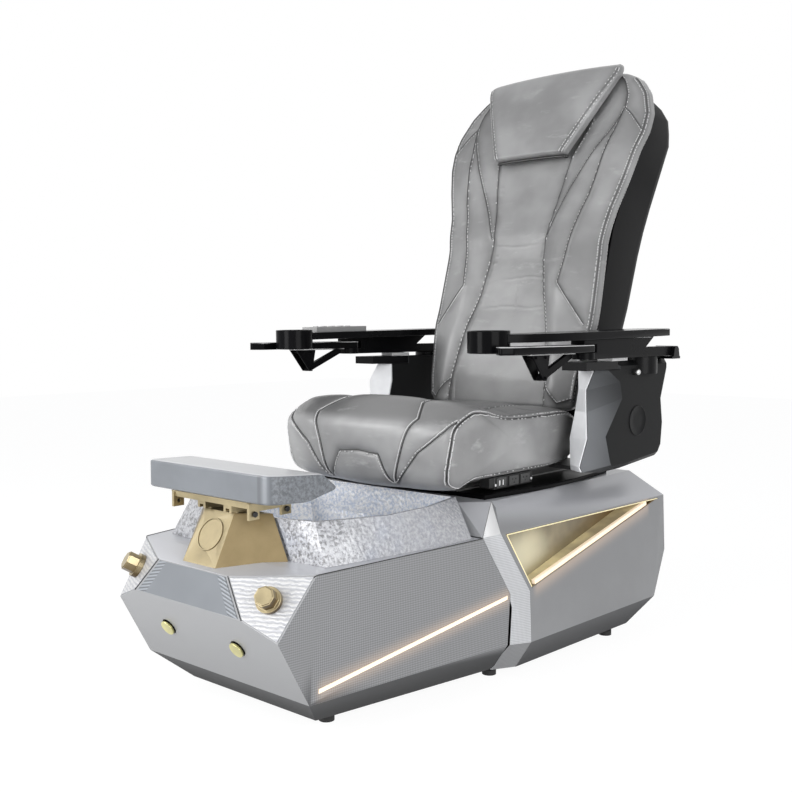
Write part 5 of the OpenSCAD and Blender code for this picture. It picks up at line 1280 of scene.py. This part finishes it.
class SPA_OT_arms(bpy.types.Operator):
    """Dresses the arms, trays, arm mounts and the remote control"""
    bl_idname = "spa.arms"
    bl_label = "Arms"

    def execute(self, context):
        finish = context.scene.spa_finish
        glossy = (("arm_top", 0.12, 5.5), ("side_tray", 0.12, 5.0), ("arm_rail", 0.24, 1.6),
                  ("tray_bracket", 0.24, 0.7))
        for kind, roughness, width in glossy:
            black = gloss_black("black_" + kind, finish.black, roughness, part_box("right_" + kind)[1].z)
            for side in ("left", "right"):
                dressed(f"{side}_{kind}", black, width * MM, 4)
        s = Shade("arm_mount_finish")
        _, y, z = s.split(s.object)
        link = y.step(0.233, 0.236) * (1 - y.step(0.313, 0.316)) * z.step(0.7005, 0.7015)
        cloud = s.noise(8, 3)
        black = s.finish(Base_Color=s.mix(finish.black, tone(215), link), Roughness=0.25 + cloud * 0.12,
                         Specular_IOR_Level=0.12)
        dressed("arm_mounts", black, 1.4 * MM)
        dressed("remote_control", brushed("remote_silver", tone(170), 0.3, (60, 1, 60), 0.6), 1.6 * MM, 3)
        return {"FINISHED"}


def outlet_box_finish(name):
    """Speckled charcoal plastic with two pale screw heads beside the outlets."""
    s = Shade(name)
    x, y, _ = s.split(s.object)
    speck, off = s.noise(500, 2), abs(y - 0.013)
    heads = x.step(0.2402, 0.2406) * off.step(0.068, 0.069) * (1 - off.step(0.078, 0.079))
    colour = s.mix(s.mix(tone(40), tone(50), speck), tone(235), heads)
    return s.finish(Base_Color=colour, Roughness=0.4 + speck * 0.1, Specular_IOR_Level=0.2)


def outlet_face_finish(name):
    """Grey plastic whose sunken places are black, with a pale tongue in the USB socket."""
    s = Shade(name)
    x, y, _ = s.split(s.object)
    sunk, speck = 1 - x.step(0.2411, 0.2413), s.noise(300, 2)
    usb = (1 - abs(y + 0.037).step(0.009, 0.0095)) * sunk
    pins = sunk * y.step(-0.02, -0.018)
    face = s.mix(s.mix(s.mix(tone(70), tone(80), speck), tone(250), usb), tone(8), pins)
    return s.finish(Base_Color=face, Roughness=0.4 + speck * 0.1, Specular_IOR_Level=0.3)


class SPA_OT_seat_hardware(bpy.types.Operator):
    """Dresses the back shell, the platform, the slide and what lies inside"""
    bl_idname = "spa.seat_hardware"
    bl_label = "Seat hardware"

    def execute(self, context):
        finish = context.scene.spa_finish
        black = moulded("back_shell_black", scaled(finish.black, 0.8), 0.42, 0.0, 0.5, 0.08)
        dressed("back_shell", black, 1.5 * MM, 2, 30)
        satin = moulded("platform_black", scaled(finish.black, 0.6), 0.3, 0.0, 0.3, 0.05)
        dressed("seat_platform", satin, 2.0 * MM, 3)
        dressed("outlet_box", outlet_box_finish("outlet_box_finish"), 0.8 * MM)
        dressed("outlet_faces", outlet_face_finish("outlet_face_finish"), 0.4 * MM)
        steel = brushed("slide_steel", tone(170), 0.25, (60, 1, 60))
        paint(["slide_rails", "slide_screw", "slide_nut", "recline_pins", "massage_carriage"], steel)
        motor = moulded("motor_grey", tone(90), 0.4)
        paint(["drain_pump", "jet_motor", "recline_motor", "button_switches"], motor)
        white = moulded("white_plastic", tone(222), 0.35, 0.1)
        paint(["drain_pipe", "jet_housing", "jet_impeller"], white)
        paint(["massage_rollers"], moulded("roller_ivory", tone(205, (6, 0, -16)), 0.35))
        return {"FINISHED"}


def seen_rays(tree):
    """1 for the rays that show the background: straight to the camera, off metal and through glass."""
    rays = tree.nodes.new("ShaderNodeLightPath")
    socket = rays.outputs["Is Camera Ray"]
    for key in ("Is Glossy Ray", "Is Transmission Ray"):
        either = tree.nodes.new("ShaderNodeMath")
        either.operation = "MAXIMUM"
        tree.links.new(socket, either.inputs[0])
        tree.links.new(rays.outputs[key], either.inputs[1])
        socket = either.outputs[0]
    return socket


def aimed(name, data, at, ahead):
    """A lamp or camera at a point that looks along ahead, with its upper side up."""
    ahead = unit(np.array(ahead, float))
    side = unit(np.cross(ahead, (0, 0, 1)))
    turn = np.column_stack([side, np.cross(side, ahead), -ahead, at])
    piece = linked(name, data)
    piece.matrix_world = Matrix(np.vstack([turn, [0, 0, 0, 1]]).tolist())
    return piece


def floor_finish(name):
    """White floor. The rays that show the background see it mostly as plain white light."""
    s = Shade(name)
    seen = Wire(s, seen_rays(s.tree))
    s.finish(Base_Color=(0.93, 0.93, 0.93), Roughness=0.9, Emission_Color=(1, 1, 1))
    veil = s.tree.nodes.new("ShaderNodeEmission")
    veil.inputs[1].default_value = 1.1
    blend = s.tree.nodes.new("ShaderNodeMixShader")
    output = next(n for n in s.tree.nodes if n.type == "OUTPUT_MATERIAL")
    s.plug(blend.inputs[0], seen * 0.85)
    s.tree.links.new(s.shader.outputs[0], blend.inputs[1])
    s.tree.links.new(veil.outputs[0], blend.inputs[2])
    s.tree.links.new(blend.outputs[0], output.inputs[0])
    return s.material


def studio_world(name, strength):
    """A cool sky of that strength, which the rays that show the background see as plain white."""
    world = bpy.data.worlds.new(name)
    world.use_nodes = True
    tree = world.node_tree
    tree.nodes.clear()
    both, out = tree.nodes.new("ShaderNodeMixShader"), tree.nodes.new("ShaderNodeOutputWorld")
    tree.links.new(seen_rays(tree), both.inputs[0])
    for i, colour, power in ((1, (0.93, 0.95, 1.0, 1), strength), (2, (1, 1, 1, 1), 1.0)):
        light = tree.nodes.new("ShaderNodeBackground")
        light.inputs[0].default_value, light.inputs[1].default_value = colour, power
        tree.links.new(light.outputs[0], both.inputs[i])
    tree.links.new(both.outputs[0], out.inputs[0])
    return world


CAMERA_AT, CAMERA_TURN, CAMERA_FALL = (1.547, -1.9067, 0.785), math.radians(41), 0.07
FLOOR_REACH = 9.0


class SPA_OT_stage(bpy.types.Operator):
    """Adds the floor, the lamps, the sky and the camera"""
    bl_idname = "spa.stage"
    bl_label = "Stage"

    def execute(self, context):
        settings, scene = context.scene.spa_stage, context.scene
        corners = np.array([(-1, -1, 0), (1, -1, 0), (1, 1, 0), (-1, 1, 0)]) * FLOOR_REACH
        floor = make_piece("floor", corners, [[0, 1, 2, 3]])
        coat(floor.data, floor_finish("floor_white"))
        scene.world = studio_world("studio", settings.sky)
        lamps = (("key", (-2.1, -2.8, 2.1), (0, 0, 0.7), 1.2, settings.key),
                 ("front", (-0.5, -3.6, 0.9), (0, -0.4, 0.4), 1.6, settings.front),
                 ("fill", (3.4, -1.2, 1.4), (0, 0.1, 0.5), 2.4, settings.fill),
                 ("top", (0.4, 1.0, 3.4), (0, 0.1, 0.6), 1.2, settings.top))
        for name, at, target, size, power in lamps:
            data = bpy.data.lights.new(name, "AREA")
            data.shape, data.size, data.energy = "SQUARE", size, power
            aimed(name, data, at, np.subtract(target, at))
        data = bpy.data.cameras.new("camera")
        data.lens, data.sensor_width, data.clip_end = settings.lens, 36, 60
        ahead = (-math.sin(CAMERA_TURN), math.cos(CAMERA_TURN), -CAMERA_FALL)
        camera = aimed("camera", data, CAMERA_AT, ahead)
        scene.camera = camera
        scene.view_settings.view_transform = "Standard"
        return {"FINISHED"}


class SPA_PT_chair(bpy.types.Panel):
    """Lists the chair's pieces and settings"""
    bl_idname = "SPA_PT_chair"
    bl_label = "Pedicure spa chair"
    bl_space_type = "VIEW_3D"
    bl_region_type = "UI"
    bl_category = "Spa chair"

    def draw(self, context):
        for operator in PIECES:
            self.layout.operator(operator.bl_idname)
        for group in (context.scene.spa_finish, context.scene.spa_upholstery, context.scene.spa_stage):
            box = self.layout.box()
            for key in group.__annotations__:
                box.prop(group, key)


PIECES = (SPA_OT_stage, SPA_OT_base, SPA_OT_controls, SPA_OT_arm_boxes, SPA_OT_arms, SPA_OT_seat_hardware,
          SPA_OT_back_cushion, SPA_OT_headrest_pillow, SPA_OT_seat_cushion, SPA_OT_foot_rest)
CLASSES = (SPA_PG_finish, SPA_PG_upholstery, SPA_PG_stage, *PIECES, SPA_PT_chair)


def register():
    """Adds the classes and hangs their settings on the scene."""
    for cls in CLASSES:
        bpy.utils.register_class(cls)
    bpy.types.Scene.spa_finish = PointerProperty(type=SPA_PG_finish)
    bpy.types.Scene.spa_upholstery = PointerProperty(type=SPA_PG_upholstery)
    bpy.types.Scene.spa_stage = PointerProperty(type=SPA_PG_stage)


def unregister():
    """Takes the settings and the classes away."""
    del bpy.types.Scene.spa_stage, bpy.types.Scene.spa_upholstery, bpy.types.Scene.spa_finish
    for cls in reversed(CLASSES):
        bpy.utils.unregister_class(cls)


def main():
    """Makes every piece through its operator."""
    register()
    for operator in PIECES:
        group, name = operator.bl_idname.split(".")
        if getattr(getattr(bpy.ops, group), name)() != {"FINISHED"}:
            raise RuntimeError(f"{operator.bl_label} wasn't made")


if __name__ == "__main__":
    main()
